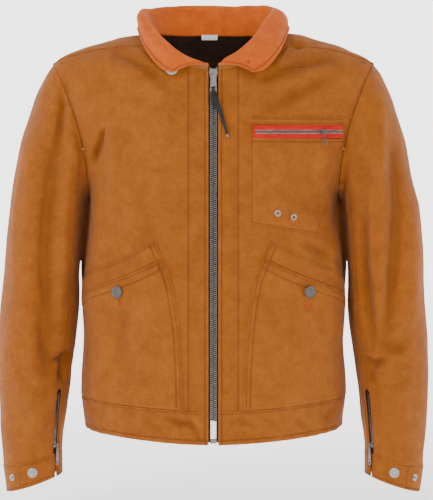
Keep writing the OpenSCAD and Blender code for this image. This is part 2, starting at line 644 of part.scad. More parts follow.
// An arc of a ring about the axis: from and to are angles from the front, radii and heights in mm
module arc(r0, r1, z0, z1, from, to) {
    translate([arc_c.x, arc_c.y, chest_zip_z]) rotate([0, 0, from - 90])
        rotate_extrude(angle = to - from, $fn = 96) translate([r0, z0]) square([r1 - r0, z1 - z0]);
}
module chest_zip_tape() {
    color(red) for (side = [-1, 1])
        arc(arc_r - 0.35, arc_r + 0.35, side > 0 ? 2.1 : -9.4, side > 0 ? 9.4 : -2.1, arc_from, arc_to);
}
chest_tooth = 2.2;
module chest_zip_teeth() {
    step = chest_tooth / arc_r * 57.3;
    count = floor((arc_to - arc_from - 1.6) / step);
    color(metal) for (side = [-1, 1]) {
        arc(arc_r - 0.6, arc_r + 0.6, side > 0 ? 1.5 : -2.05, side > 0 ? 2.05 : -1.5, arc_from, arc_to);
        for (i = [0:count]) translate([arc_c.x, arc_c.y, chest_zip_z])
            rotate([0, 0, arc_from + 0.8 + (i + side / 4) * step])
                translate([-0.45, -arc_r - 0.8, side > 0 ? 0.3 : -1.7]) cube([0.9, 1.6, 1.4]);
    }
}
module at_chest(a, out = 0) {
    translate([arc_c.x, arc_c.y, chest_zip_z]) rotate([0, 0, a]) translate([0, -arc_r - out, 0]) children();
}
bail_out = 6.6;
module chest_slider() {
    color(metal) at_chest(chest_rest) {
        rotate([0, 90, 0]) translate([0, 0, -4.5]) slider_body(3.9, 9, 1.15, 0.6, 1);
        // The bail that the link hangs on
        for (x = [-1, 1]) translate([x * 3 - 0.6, -bail_out - 0.6, -1]) cube([1.2, bail_out - 1, 2]);
        translate([-3.4, -bail_out, 0]) rotate([0, 90, 0]) cylinder(r = bail_r, h = 6.8);
    }
}
bail_r = 0.75;
link_len = 10.5;
ring_r = 4;
ring_wire = 0.75;
// A link with an eye at each end, each eye round an axis along X
module chest_pull_link() {
    color(metal) at_chest(chest_rest, bail_out) {
        for (eye = [[0, bail_r + 0.05], [-link_len, ring_wire + 0.12]])
            translate([-0.6, 0, eye[0]]) rotate([0, 90, 0]) difference() {
                cylinder(r = eye[1] + 0.9, h = 1.2);
                translate([0, 0, -1]) cylinder(r = eye[1], h = 4);
            }
        translate([-0.6, -0.6, -link_len + 1.5]) cube([1.2, 1.2, link_len - 2.8]);
    }
}
module chest_pull_ring() {
    color(metal) at_chest(chest_rest, bail_out) translate([0, 0, -link_len - ring_r]) rotate([90, 0, 0])
        rotate_extrude() translate([ring_r, 0]) circle(r = ring_wire, $fn = 24);
}

// ---- thread ----

module bartack(x, z, lift, turn, length) {
    on_front(x, z, lift) rotate([0, 0, turn]) translate([-length / 2, -0.9, 0]) cube([length, 1.8, 0.7]);
}
module bartacks() {
    over = pocket_lift + pocket_ply + pocket_bulge + 0.1;
    color(red) for (x = [-1, 1]) bartack(x * (button_x - 5), button_z - 17, over, 0, 9);
}

// ---- nodes ----

on_right() front_panel();  // front_right
front_panel();  // front_left
back_panel();
shoulder_yoke();
on_right() waistband_front();  // waistband_right
waistband_front();  // waistband_left
waistband_back();
color(orange) collar_layer(0.05, collar_ply);  // collar_top
color(canvas) collar_layer(-collar_ply, -0.05);  // collar_under
collar_button();
on_right() sleeve_top();  // sleeve_top_right
sleeve_top();  // sleeve_top_left
on_right() sleeve_under();  // sleeve_under_right
sleeve_under();  // sleeve_under_left
on_right() cuff();  // cuff_right
cuff();  // cuff_left
on_right() cuff_tab();  // cuff_tab_right
cuff_tab();  // cuff_tab_left
on_right() snap_cap();  // snap_cap_right
snap_cap();  // snap_cap_left
on_right() snap_studs();  // snap_studs_right
snap_studs();  // snap_studs_left
on_right() sleeve_zip_tape();  // sleeve_zip_tape_right
sleeve_zip_tape();  // sleeve_zip_tape_left
on_right() sleeve_zip_teeth();  // sleeve_zip_teeth_right
sleeve_zip_teeth();  // sleeve_zip_teeth_left
on_right() sleeve_slider();  // sleeve_slider_right
sleeve_slider();  // sleeve_slider_left
on_right() sleeve_pull();  // sleeve_pull_right
sleeve_pull();  // sleeve_pull_left
on_right() hand_pocket();  // hand_pocket_right
hand_pocket();  // hand_pocket_left
on_right() pocket_facing();  // pocket_facing_right
pocket_facing();  // pocket_facing_left
on_right() pocket_button();  // pocket_button_right
pocket_button();  // pocket_button_left
chest_pocket_band();
chest_pocket_bag();
chest_zip_tape();
chest_zip_teeth();
chest_slider();
chest_pull_link();
chest_pull_ring();
eyelet(eyelet_1);  // eyelet_inner
eyelet(eyelet_2);  // eyelet_outer
bartacks();
on_right() front_facing();  // front_facing_right
front_facing();  // front_facing_left
neck_lining();
size_label();
on_right() zip_tape();  // zip_tape_right
zip_tape();  // zip_tape_left
on_right() zip_teeth(0);  // zip_teeth_right
zip_teeth(tooth_pitch / 2);  // zip_teeth_left
zip_pin_box();
zip_stops();
zip_slider();
zip_pull();
pull_tab();
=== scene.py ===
import math
import bpy, bmesh
import numpy as np
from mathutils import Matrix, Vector

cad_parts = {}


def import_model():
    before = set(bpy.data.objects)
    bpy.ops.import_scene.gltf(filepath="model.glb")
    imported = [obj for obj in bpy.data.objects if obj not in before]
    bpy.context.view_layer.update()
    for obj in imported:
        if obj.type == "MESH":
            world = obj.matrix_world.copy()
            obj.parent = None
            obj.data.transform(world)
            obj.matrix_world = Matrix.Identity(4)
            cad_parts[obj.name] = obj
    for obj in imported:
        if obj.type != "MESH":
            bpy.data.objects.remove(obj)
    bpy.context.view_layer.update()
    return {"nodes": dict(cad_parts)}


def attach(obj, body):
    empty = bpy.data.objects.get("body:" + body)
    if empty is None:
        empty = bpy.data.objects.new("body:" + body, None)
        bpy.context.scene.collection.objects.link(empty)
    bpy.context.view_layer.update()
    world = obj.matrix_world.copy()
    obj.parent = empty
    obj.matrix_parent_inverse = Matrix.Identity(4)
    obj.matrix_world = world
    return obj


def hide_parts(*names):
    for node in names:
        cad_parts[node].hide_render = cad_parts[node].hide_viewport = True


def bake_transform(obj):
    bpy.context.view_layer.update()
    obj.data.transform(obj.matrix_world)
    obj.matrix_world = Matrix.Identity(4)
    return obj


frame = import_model()
R = np.radians

# ------------------------------------------------------------ the garment's surfaces (mm)
HEM, WAIST = -600.0, -552.0                     # heights below the neck seam
NW, ND = 88.0, 54.0                             # half width of the neck, and how far it dips in front
CH, ARM = 186.0, 238.0                          # half widths at the armpit and at the sleeve's top
SQ = 2.25                                       # squareness of the torso's sections
FRONT_D, FRONT_OUT, FRONT_DROP = 88, 52, 545    # the front's depth at the neck, and its slope outwards
# half width, back depth, front depth above the neck's dip, shoulder seam x: each by height
WIDTHS = [(HEM, 189), (WAIST, 195), (-470, 192), (-385, 196), (-320, 191), (-270, CH), (-240, CH),
          (-215, 196), (-183, 213), (-148, 235), (-104, 256), (-75, 256), (-60, 249), (-48, ARM), (-40, 228),
          (-30, 207), (-20, 182), (-10, 147), (-4, 118), (0, NW)]
BACKS = [(HEM, 122), (WAIST, 127), (-450, 124), (-330, 131), (-250, 143), (-150, 146), (-100, 138),
         (-60, 122), (-30, 102), (-10, 78), (0, 56)]
NF = [(-ND, 88), (-48, 86), (-30, 70), (-15, 48), (-5, 24), (0, 8)]
SHS = [(-48, ARM), (-40, 216), (-32, 190), (-26, 165), (-21, 120), (-19.5, 84)]
# by fraction along: outer x and z, inner x and z, middle y, half depth
SLEEVE = [(0, (238, -48, 186, -240, 12, 70)), (.05, (252, -68, 188, -246, 11, 73)),
          (.12, (269, -102, 190, -253, 10, 76)), (.22, (287, -160, 192, -263, 9, 76)),
          (.34, (302, -245, 195, -288, 8, 73)), (.46, (313, -330, 199, -342, 6, 70)),
          (.6, (321, -436, 204, -436, 0, 66)), (.7, (323, -500, 213, -495, -7, 60)),
          (.82, (319, -572, 221, -561, -18, 53)), (.935, (313, -642, 226, -621, -33, 46)),
          (1, (307, -682, 225, -655, -42, 43))]
# the collar's fold and its free edge, by degrees round from the front
ROLL = [(5, (9, -94, -51)), (25, (37, -93, -38)), (45, (61, -75, -17)), (65, (80, -44, 6)),
        (90, (97, -2, 31)), (120, (89, 38, 38)), (150, (55, 65, 42)), (180, (0, 74, 43))]
LEAF = [(5, (58, -95.5, -62.5)), (25, (72, -94.5, -59)), (45, (86, -87, -47)), (65, (100, -66, -26)),
        (90, (111, -12, 3)), (120, (104, 46, -1)), (150, (63, 87, -10)), (180, (0, 99, -14))]
ZT, ZF = np.array([0, -FRONT_D, -ND]), np.array([0, -FRONT_D - FRONT_OUT, HEM + 1])     # the main zip's ends
TILT = -math.atan2(FRONT_OUT, FRONT_DROP)
CLOTH = 2.4                                     # thickness
SEAM = 145                                      # degrees round the sleeve to its inner seam
CUFF_S = .935                                   # where the cuff starts, as a fraction along the sleeve
SNAP_S, SNAP_A, SPARE_A = .967, 93., 48.        # the cuff's snaps
TAB_ROOT, TAB_END = 133., 66                    # the cuff tab, in degrees round the sleeve
ZIP_SINK = 3.1                                  # how deep the main zip lies
BUTTON_X, BUTTON_Z = 137, -382
TACK = (-60, -60.5)                             # x and z of the button under the collar
EYELETS = ((92, -267), (115, -273))
CHEST_R = 353.5                                 # radius of the curve that the chest zip follows


def along(t, x):
    """a smooth curve through a table's rows, at x"""
    X = np.array([r[0] for r in t], float)
    V = np.array([r[1] for r in t], float).reshape(len(X), -1)
    n = len(X)
    S = np.array([(V[min(i + 1, n - 1)] - V[max(i - 1, 0)]) / (X[min(i + 1, n - 1)] - X[max(i - 1, 0)])
                  for i in range(n)])
    x = np.asarray(x, float)
    f = x.ravel()
    i = np.clip(np.searchsorted(X, f) - 1, 0, n - 2)
    h = (X[i + 1] - X[i])[:, None]
    u = np.clip((f - X[i])[:, None] / h, 0, 1)
    r = (V[i] * (1 + 2 * u) * (1 - u) ** 2 + V[i + 1] * u * u * (3 - 2 * u)
         + S[i] * h * u * (1 - u) ** 2 - S[i + 1] * h * u * u * (1 - u))
    return r.reshape(x.shape) if V.shape[1] == 1 else r.reshape(x.shape + (-1,))


def stack(*a):
    return np.stack(np.broadcast_arrays(*a), -1)


def unit(v):
    return v / np.maximum(np.linalg.norm(v, axis=-1, keepdims=True), 1e-12)


def half_w(z):
    return along(WIDTHS, z)


def front_d(z):
    return np.where(z > -ND, along(NF, z), FRONT_D + (-ND - z) * FRONT_OUT / FRONT_DROP)


def inset(x, z):
    """the share of its depth that the body has at x"""
    return np.maximum(0, 1 - np.minimum(abs(x) / half_w(z), 1) ** SQ) ** (1 / SQ)


def body(z, th):
    """the torso's surface, th in degrees round from the front"""
    z, th = np.broadcast_arrays(np.asarray(z, float), np.asarray(th, float))
    s, c = np.sin(R(th)), np.cos(R(th))
    d = np.where(c > 0, front_d(z), along(BACKS, z))
    r = ((abs(s) / half_w(z)) ** SQ + (abs(c) / d) ** SQ) ** (-1 / SQ)
    return stack(r * s, -r * c, z + 11 * s ** 2 * np.clip((-400 - z) / 150, 0, 1))


def body_n(z, th):
    z = np.clip(z, HEM + .5, -.5)
    return unit(np.cross(body(z, th + .5) - body(z, th - .5), body(z + .5, th) - body(z - .5, th)))


def front_angle(x, z):
    return np.degrees(np.arctan2(x, front_d(z) * inset(x, z)))


def arm_x(z):
    return CH + (ARM - CH) * ((z + 240) / 192) ** 2


def neck_x(z):
    return NW * np.sqrt(np.maximum(0, 1 - (z / ND) ** 2))


def front_in(z):
    return front_angle(np.where(z <= -ND, 7., np.maximum(7., neck_x(z))), z)


def front_out(z):
    a = front_angle(np.minimum(arm_x(z), half_w(z)), z)
    return np.where(z <= -240, 90, np.where(z <= -48, a, front_angle(along(SHS, z), z)))


def back_out(z):
    x = np.minimum(arm_x(z), half_w(z))
    a = 180 - np.degrees(np.arctan2(x, along(BACKS, z) * inset(x, z)))
    return np.where(z <= -240, 90, np.where(z <= -48, a, np.where(z <= -19.5, front_out(z),
                                                                  front_angle(neck_x(z), z))))


def armhole(a):
    a = R(a)
    z = -144 + 96 * np.cos(a)
    x = arm_x(z)
    return stack(x, np.where(np.sin(a) >= 0, -front_d(z), along(BACKS, z)) * inset(x, z), z)


def ring(s, a):
    k, a = along(SLEEVE, s), R(a)
    c = np.cos(a)
    return stack((k[..., 0] + k[..., 2]) / 2 + (k[..., 0] - k[..., 2]) / 2 * c,
                 k[..., 4] - k[..., 5] * np.sin(a),
                 (k[..., 1] + k[..., 3]) / 2 + (k[..., 1] - k[..., 3]) / 2 * c)


def sleeve(s, a):
    s, a = np.broadcast_arrays(np.asarray(s, float), np.asarray(a, float))
    return ring(s, a) + (armhole(a) - ring(s * 0, a)) * (np.maximum(0, 1 - s / .16) ** 2)[..., None]


def sleeve_n(s, a):
    s = np.clip(s, .004, .996)
    return unit(np.cross(sleeve(s, a + 1) - sleeve(s, a - 1), sleeve(s + .004, a) - sleeve(s - .004, a)))


# ------------------------------------------------------------ folds
EYE, EYE_Z = 3200, -150       # the camera's distance in front and its height


def seen(x, y, z):
    """where the camera sees a point, on the plane y = 0"""
    m = EYE / (EYE + y)
    return x * m, (z - EYE_Z) * m + EYE_Z


# each stroke: points (x, z) as the camera sees them, width, depth (a valley is below 0), all in mm
FRONT = [
    ([(-221.25, -70.5), (-227.25, -118.5), (-234.75, -175.5)], 7.5, -3.2),
    ([(-240.75, -175.5), (-248.25, -265.5), (-252.75, -355.5), (-242.25, -453)], 13.5, -5),
    ([(-206.25, -118.5), (-210.75, -190.5), (-219.75, -295.5), (-228.75, -400.5)], 12, 3),
    ([(-275.25, -160.5), (-287.25, -280.5), (-293.25, -400.5)], 16.5, 3),
    ([(-213.75, -475.5), (-227.25, -487.5), (-245.25, -493.5)], 6, -3),
    ([(-221.25, -484.5), (-227.25, -517.5), (-233.25, -558), (-230.25, -610.5)], 6.75, -4.5),
    ([(-266.25, -400.5), (-254.25, -460.5), (-251.25, -520.5)], 12, -3),
    ([(-275.25, -475.5), (-269.25, -550.5), (-266.25, -618)], 18, 2.5),
    ([(-218.25, -505.5), (-216.75, -550.5), (-221.25, -595.5)], 6, 2.5),
    ([(-290.25, -508.5), (-275.25, -528), (-257.25, -538.5)], 10.5, -1.8),
    ([(249.75, -97.5), (245.25, -160.5), (242.25, -250.5), (245.25, -340.5), (252.75, -430.5)], 13.5, 3.5),
    ([(270.75, -175.5), (278.25, -265.5), (269.25, -355.5), (260.25, -445.5)], 12, -5),
    ([(294.75, -250.5), (300.75, -340.5), (297.75, -430.5)], 13.5, 2.5),
    ([(225.75, -273), (225.75, -340.5), (231.75, -400.5), (237.75, -460.5)], 9, -3),
    ([(224.25, -487.5), (240.75, -496.5), (258.75, -490.5)], 6, -3.2),
    ([(233.25, -499.5), (239.25, -526.5), (240.75, -565.5)], 6.75, -3),
    ([(249.75, -460.5), (270.75, -472.5), (288.75, -469.5)], 9, -2.4),
    ([(273.75, -505.5), (279.75, -565.5), (279.75, -625.5)], 18, 2.5),
    ([(294.75, -514.5), (276.75, -526.5), (258.75, -526.5)], 10.5, -1.6),
    ([(-162.75, -142.5), (-168.75, -163.5), (-180.75, -193.5)], 5.25, -4.5),
    ([(-155.25, -138), (-144.75, -198), (-152.25, -273)], 12, 2.4),
    ([(-152.25, -25.5), (-113.25, -46.5), (-74.25, -73.5)], 9, -2.6),
    ([(-128.25, -58.5), (-83.25, -88.5), (-50.25, -112.5)], 12, 1.2),
    ([(-119.25, -151.5), (-131.25, -166.5), (-143.25, -184.5)], 6, -1.4),
    ([(-185.25, -127.5), (-173.25, -106.5), (-152.25, -88.5)], 10.5, 1.4),
    ([(180.75, -37.5), (129.75, -49.5), (72.75, -70.5)], 9, -2.6),
    ([(183.75, -64.5), (129.75, -91.5), (72.75, -115.5)], 9, -2.2),
    ([(174.75, -52.5), (126.75, -72), (75.75, -94.5)], 7.5, 1.4),
    ([(135.75, -19.5), (125.25, -19.5), (113.25, -13.5)], 4.5, -2.4),
    ([(39.75, -64.5), (29.25, -70.5), (18.75, -79.5)], 4.5, -1.4),
    ([(-11.25, -64.5), (-23.25, -69), (-38.25, -79.5)], 4.5, -1.2),
    ([(197.25, -175.5), (191.25, -220.5), (183.75, -280.5)], 7.5, -2.6),
    ([(206.25, -142.5), (198.75, -175.5)], 6, 1.8),
    ([(-30.75, -316.5), (-15.75, -307.5), (-5.25, -292.5)], 4.5, -1.1),
    ([(-29.25, -346.5), (-11.25, -331.5)], 4.5, -1),
    ([(-30.75, -403.5), (-18.75, -385.5), (-6.75, -376.5)], 4.5, -1.1),
    ([(-27.75, -433.5), (-11.25, -412.5)], 4.5, 1),
    ([(12.75, -283.5), (23.25, -292.5), (33.75, -307.5)], 5.25, -0.8),
    ([(15.75, -343.5), (27.75, -355.5)], 5.25, -0.8),
    ([(129.75, -315), (159.75, -325.5), (183.75, -346.5)], 7.5, -1.8),
    ([(186.75, -310.5), (174.75, -343.5), (183.75, -378)], 7.5, 1.6),
    ([(-171.75, -235.5), (-167.25, -295.5), (-174.75, -343.5)], 10.5, 2),
    ([(-143.25, -274.5), (-134.25, -337.5), (-155.25, -363)], 12, -1.4),
    ([(-110.25, -198), (-101.25, -258), (-95.25, -303)], 15, -0.9),
    ([(66.75, -190.5), (81.75, -228), (129.75, -258), (156.75, -268.5)], 10.5, -1.4),
    ([(72.75, -220.5), (107.25, -250.5)], 7.5, 1),
    ([(-131.25, -406.5), (-137.25, -460.5), (-129.75, -528)], 10.5, -1.3),
    ([(-95.25, -376.5), (-83.25, -400.5), (-80.25, -460.5)], 9, -1),
    ([(-170.25, -445.5), (-161.25, -490.5), (-167.25, -543)], 12, 1),
    ([(123.75, -400.5), (114.75, -460.5), (123.75, -520.5)], 10.5, -1.3),
    ([(72.75, -400.5), (87.75, -418.5), (99.75, -445.5)], 9, -0.9),
    ([(174.75, -430.5), (162.75, -490.5), (168.75, -543)], 12, 1),
    ([(-87.75, -343.5), (-78.75, -352.5), (-65.25, -385.5)], 4.5, -0.8),
    ([(-71.25, -577.5), (-50.25, -586.5), (-35.25, -586.5), (-26.25, -598.5), (-20.25, -615)], 4.5, -2.2),
    ([(-98.25, -585), (-77.25, -595.5)], 4.5, -1.2), ([(-62.25, -568.5), (-41.25, -577.5)], 4.5, 1),
    ([(21.75, -586.5), (39.75, -580.5), (57.75, -591)], 4.5, -1.2),
    ([(72.75, -576), (90.75, -586.5), (105.75, -600)], 4.5, -1.3),
    ([(122.25, -579), (138.75, -592.5)], 4.5, -1.2), ([(47.25, -595.5), (72.75, -598.5)], 4.5, 1),
    ([(-182.25, -558), (-164.25, -580.5)], 6, -1), ([(183.75, -556.5), (165.75, -580.5)], 6, -1),
    ([(-191.25, -643.5), (-230.25, -637.5)], 4.5, 1.2),
    ([(-290.25, -679.5), (-260.25, -682.5), (-227.25, -667.5)], 4.5, 0.8)]
# the back, with x and z straight from the garment
BACK = [
    ([(-158.25, -175.5), (-113.25, -214.5), (-71.25, -283.5)], 13.5, -3),
    ([(156.75, -172.5), (111.75, -211.5), (72.75, -277.5)], 13.5, -3),
    ([(-164.25, -217.5), (-125.25, -259.5), (-95.25, -325.5)], 12, 2.2),
    ([(162.75, -214.5), (123.75, -256.5), (93.75, -319.5)], 12, 2.2),
    ([(-128.25, -273), (-92.25, -355.5), (-83.25, -453)], 15, -2.4),
    ([(129.75, -273), (102.75, -355.5), (87.75, -453)], 15, -2.4),
    ([(-0.75, -145.5), (3.75, -295.5), (-2.25, -445.5)], 22.5, 2),
    ([(-50.25, -175.5), (-41.25, -310.5), (-44.25, -430.5)], 18, -1.4),
    ([(51.75, -175.5), (45.75, -310.5), (48.75, -430.5)], 18, -1.4),
    ([(-170.25, -526.5), (-80.25, -537), (-0.75, -532.5), (84.75, -538.5), (168.75, -526.5)], 10.5, 2.4),
    ([(-143.25, -499.5), (-95.25, -517.5)], 9, -1.6), ([(141.75, -499.5), (96.75, -517.5)], 9, -1.6),
    ([(-35.25, -508.5), (12.75, -520.5)], 9, -1.3), ([(-170.25, -385.5), (-158.25, -460.5)], 12, -1.8),
    ([(170.25, -385.5), (158.25, -460.5)], 12, -1.8),
    ([(-233.25, -93), (-245.25, -205.5), (-254.25, -325.5)], 13.5, -4),
    ([(233.25, -93), (246.75, -205.5), (257.25, -325.5)], 13.5, -4),
    ([(-209.25, -130.5), (-221.25, -235.5), (-230.25, -340.5)], 13.5, 2.6),
    ([(209.25, -130.5), (221.25, -235.5), (231.75, -340.5)], 13.5, 2.6),
    ([(-308.25, -427.5), (-275.25, -451.5), (-233.25, -460.5)], 9, -3.2),
    ([(-299.25, -468), (-269.25, -484.5), (-230.25, -487.5)], 9, -3),
    ([(-302.25, -448.5), (-269.25, -469.5), (-233.25, -474)], 7.5, 2.4),
    ([(309.75, -427.5), (276.75, -451.5), (234.75, -460.5)], 9, -3.2),
    ([(300.75, -468), (270.75, -484.5), (231.75, -487.5)], 9, -3),
    ([(303.75, -448.5), (270.75, -469.5), (234.75, -474)], 7.5, 2.4),
    ([(-284.25, -520.5), (-254.25, -550.5), (-245.25, -610.5)], 13.5, -2.2),
    ([(285.75, -520.5), (255.75, -550.5), (246.75, -610.5)], 13.5, -2.2),
    ([(-170.25, -562.5), (-0.75, -571.5), (170.25, -562.5)], 6, -0.8),
    ([(-95.25, -40.5), (-35.25, -58.5), (39.75, -58.5), (99.75, -40.5)], 13.5, -1.2)]


def smooth(x, a, b):
    t = np.clip((x - a) / (b - a), 0, 1)
    return t * t * (3 - 2 * t)


def strokes(S, x, y):
    out = np.zeros(x.shape)
    for pts, w, d in S:
        p = np.array(pts, float)
        box = (x > p[:, 0].min() - 3 * w) & (x < p[:, 0].max() + 3 * w) & (y > p[:, 1].min() - 3 * w) & (
            y < p[:, 1].max() + 3 * w)
        if not box.any():
            continue
        X, Y = x[box], y[box]
        L = np.concatenate([[0], np.cumsum(np.linalg.norm(np.diff(p, axis=0), axis=1))])
        best, at = np.full(X.shape, 1e9), np.zeros(X.shape)
        for i in range(len(p) - 1):
            e = p[i + 1] - p[i]
            t = np.clip(((X - p[i, 0]) * e[0] + (Y - p[i, 1]) * e[1]) / (e @ e), 0, 1)
            q = (X - p[i, 0] - t * e[0]) ** 2 + (Y - p[i, 1] - t * e[1]) ** 2
            m = q < best
            best = np.where(m, q, best)
            at = np.where(m, (L[i] + t * (L[i + 1] - L[i])) / L[-1], at)
        out[box] += d * np.exp(-best / w ** 2 * 1.3) * (.25 + .75 * np.sin(np.pi * np.clip(at, .0, 1)) ** .6)
    return out


rng = np.random.default_rng(7)
WAVES = []
for wl, amp, num in ((150, .9, 7), (70, .45, 9), (30, .16, 12)):
    for i in range(num):
        v = rng.normal(size=3)
        v[2] *= .6
        WAVES.append((v / np.linalg.norm(v) * 2 * np.pi / wl / rng.uniform(.7, 1.4), rng.uniform(0, 6.28),
                      amp / num ** .5))


def all_folds(P, N):
    x, y, z = P[..., 0], P[..., 1], P[..., 2]
    f = strokes(FRONT, *seen(x, y, z)) * smooth(-N[..., 1], -.25, .3)
    b = strokes(BACK, x, z) * smooth(N[..., 1], -.25, .3)
    g = sum(a * np.sin(P @ k + ph) for k, ph, a in WAVES)
    return np.clip(2.7 * f, -9, 6) + np.clip(2 * b, -8, 6) + 1.6 * g + side(P, N)


def side(P, N):
    """the back swells out beside the arms, behind the gap between torso and sleeve"""
    x, y, z = P[..., 0], P[..., 1], P[..., 2]
    k = smooth(abs(x), 120, 178) * smooth(y, -8, 34) * (1 - smooth(y, 60, 110)) * smooth(z, -440, -330)
    return 13 * k * (1 - smooth(z, -262, -236)) * (np.abs(x) < 199)


# ------------------------------------------------------------ meshes
def obj(name, verts, faces, mat, uv=None, seam=None):
    me = bpy.data.meshes.new(name)
    me.from_pydata((np.asarray(verts, float) * .001).tolist(), [], [tuple(int(i) for i in f) for f in faces])
    bm = bmesh.new()
    bm.from_mesh(me)
    bmesh.ops.recalc_face_normals(bm, faces=bm.faces)
    bm.to_mesh(me)
    bm.free()
    for m in (mat if isinstance(mat, (list, tuple)) else [mat]):
        me.materials.append(m)
    o = bpy.data.objects.new(name, me)
    bpy.context.scene.collection.objects.link(o)
    me.polygons.foreach_set("use_smooth", [True] * len(me.polygons))
    if uv is not None:
        li = np.zeros(len(me.loops), int)
        me.loops.foreach_get("vertex_index", li)
        me.uv_layers.new(name="cut").data.foreach_set("uv", (np.asarray(uv)[li] * .001).ravel())
    if seam is not None:
        me.attributes.new("seam", "FLOAT", "POINT").data.foreach_set("value", np.asarray(seam, float))
    return o


def template(L, step, a, b):
    """places along a length L: those in a from its start, those in b from its end, even steps between"""
    a, b = sorted(set((0.,) + tuple(a))), sorted(set((0.,) + tuple(b)))
    lo, hi = a[-1], L - b[-1]
    n = max(2, int(round((hi - lo) / step)))
    even = [lo + (hi - lo) * i / n for i in range(1, n)]
    return np.array(a + even + [L - t for t in reversed(b)]), lo, b[-1]


def fit_rows(S, T, lo, hi):
    """for each row of arc lengths S, the parameter at each template place, and the place in mm"""
    a = np.linspace(0, 1, S.shape[1])
    L0 = T[-1]
    out, mm = [], []
    for s in S:
        L = max(s[-1], 1e-6)
        k = 1 if L > 1.3 * (lo + hi) + 4 else .999 * L / (1.3 * (lo + hi) + 4)
        t = np.where(T <= lo, T * k, np.where(T >= L0 - hi, L - (L0 - T) * k,
                     lo * k + (T - lo) / max(L0 - lo - hi, 1e-6) * (L - (lo + hi) * k)))
        out.append(np.interp(t, s, a))
        mm.append(t)
    return np.array(out), np.array(mm)


def grid(fn, su, sv, nu0=(), nu1=(), nv0=(), nv1=(), k=140):
    """a grid of fn(u, v) whose lines stand at given distances in mm from the edges"""
    a = np.linspace(0, 1, k)
    U, V = np.meshgrid(a, a)
    P = fn(U, V)
    d = np.linalg.norm(np.diff(P, axis=1), axis=-1)
    Su = np.concatenate([np.zeros((k, 1)), np.cumsum(d, 1)], 1)
    d = np.linalg.norm(np.diff(P, axis=0), axis=-1)
    Sv = np.concatenate([np.zeros((1, k)), np.cumsum(d, 0)], 0).T
    Tu, a0, a1 = template(Su[:, -1].max(), su, nu0, nu1)
    Tv, b0, b1 = template(Sv[:, -1].max(), sv, nv0, nv1)
    UU, MU = fit_rows(Su, Tu, a0, a1)
    VV, MV = fit_rows(Sv, Tv, b0, b1)

    def look(tab, x, j):
        i = np.clip(x * (k - 1), 0, k - 1.0001)
        f = i.astype(int)
        t = i - f
        return tab[f, j] * (1 - t) + tab[f + 1, j] * t
    n, m = len(Tv), len(Tu)
    J, I = np.meshgrid(np.arange(m), np.arange(n))
    u, v = Tu[J] / Tu[-1], Tv[I] / Tv[-1]
    for _ in range(5):
        v = look(VV, u, I)
        u = look(UU, v, J)
    du, dv = look(MU, v, J), look(MV, u, I)
    Lu = np.interp(v, a, Su[:, -1])
    Lv = np.interp(u, a, Sv[:, -1])
    return u, v, dict(u0=du, u1=Lu - du, v0=dv, v1=Lv - dv), Tu, Tv


STITCH = {}


def stitch(colour, P, N, pitch=3.4, fill=.74, r=.42, skip=()):
    """stitches along a line of points"""
    P, N = np.asarray(P, float), np.asarray(N, float)
    s = np.concatenate([[0], np.cumsum(np.linalg.norm(np.diff(P, axis=0), axis=1))])
    n = int(s[-1] / pitch)
    V, F = STITCH.setdefault(colour, ([], []))
    for i in range(n):
        a = (i + .5 - fill / 2) * pitch
        b = a + fill * pitch
        q = [np.array([np.interp(t, s, P[:, c]) for c in range(3)])
             for t in (a, a + .22 * (b - a), b - .22 * (b - a), b)]
        nn = unit(np.array([np.interp((a + b) / 2, s, N[:, c]) for c in range(3)]))
        t = unit(q[3] - q[0])
        w = np.cross(t, nn)
        k = len(V)
        V.append(q[0] - nn * .25)
        for c in (q[1], q[2]):
            for j in range(5):
                g = j / 5 * 2 * math.pi
                V.append(c + (w * math.cos(g) + nn * math.sin(g)) * r + nn * .12)
        V.append(q[3] - nn * .25)
        for j in range(5):
            l = (j + 1) % 5
            F.append((k, k + 1 + j, k + 1 + l))
            F.append((k + 1 + j, k + 6 + j, k + 6 + l, k + 1 + l))
            F.append((k + 11, k + 6 + l, k + 6 + j))


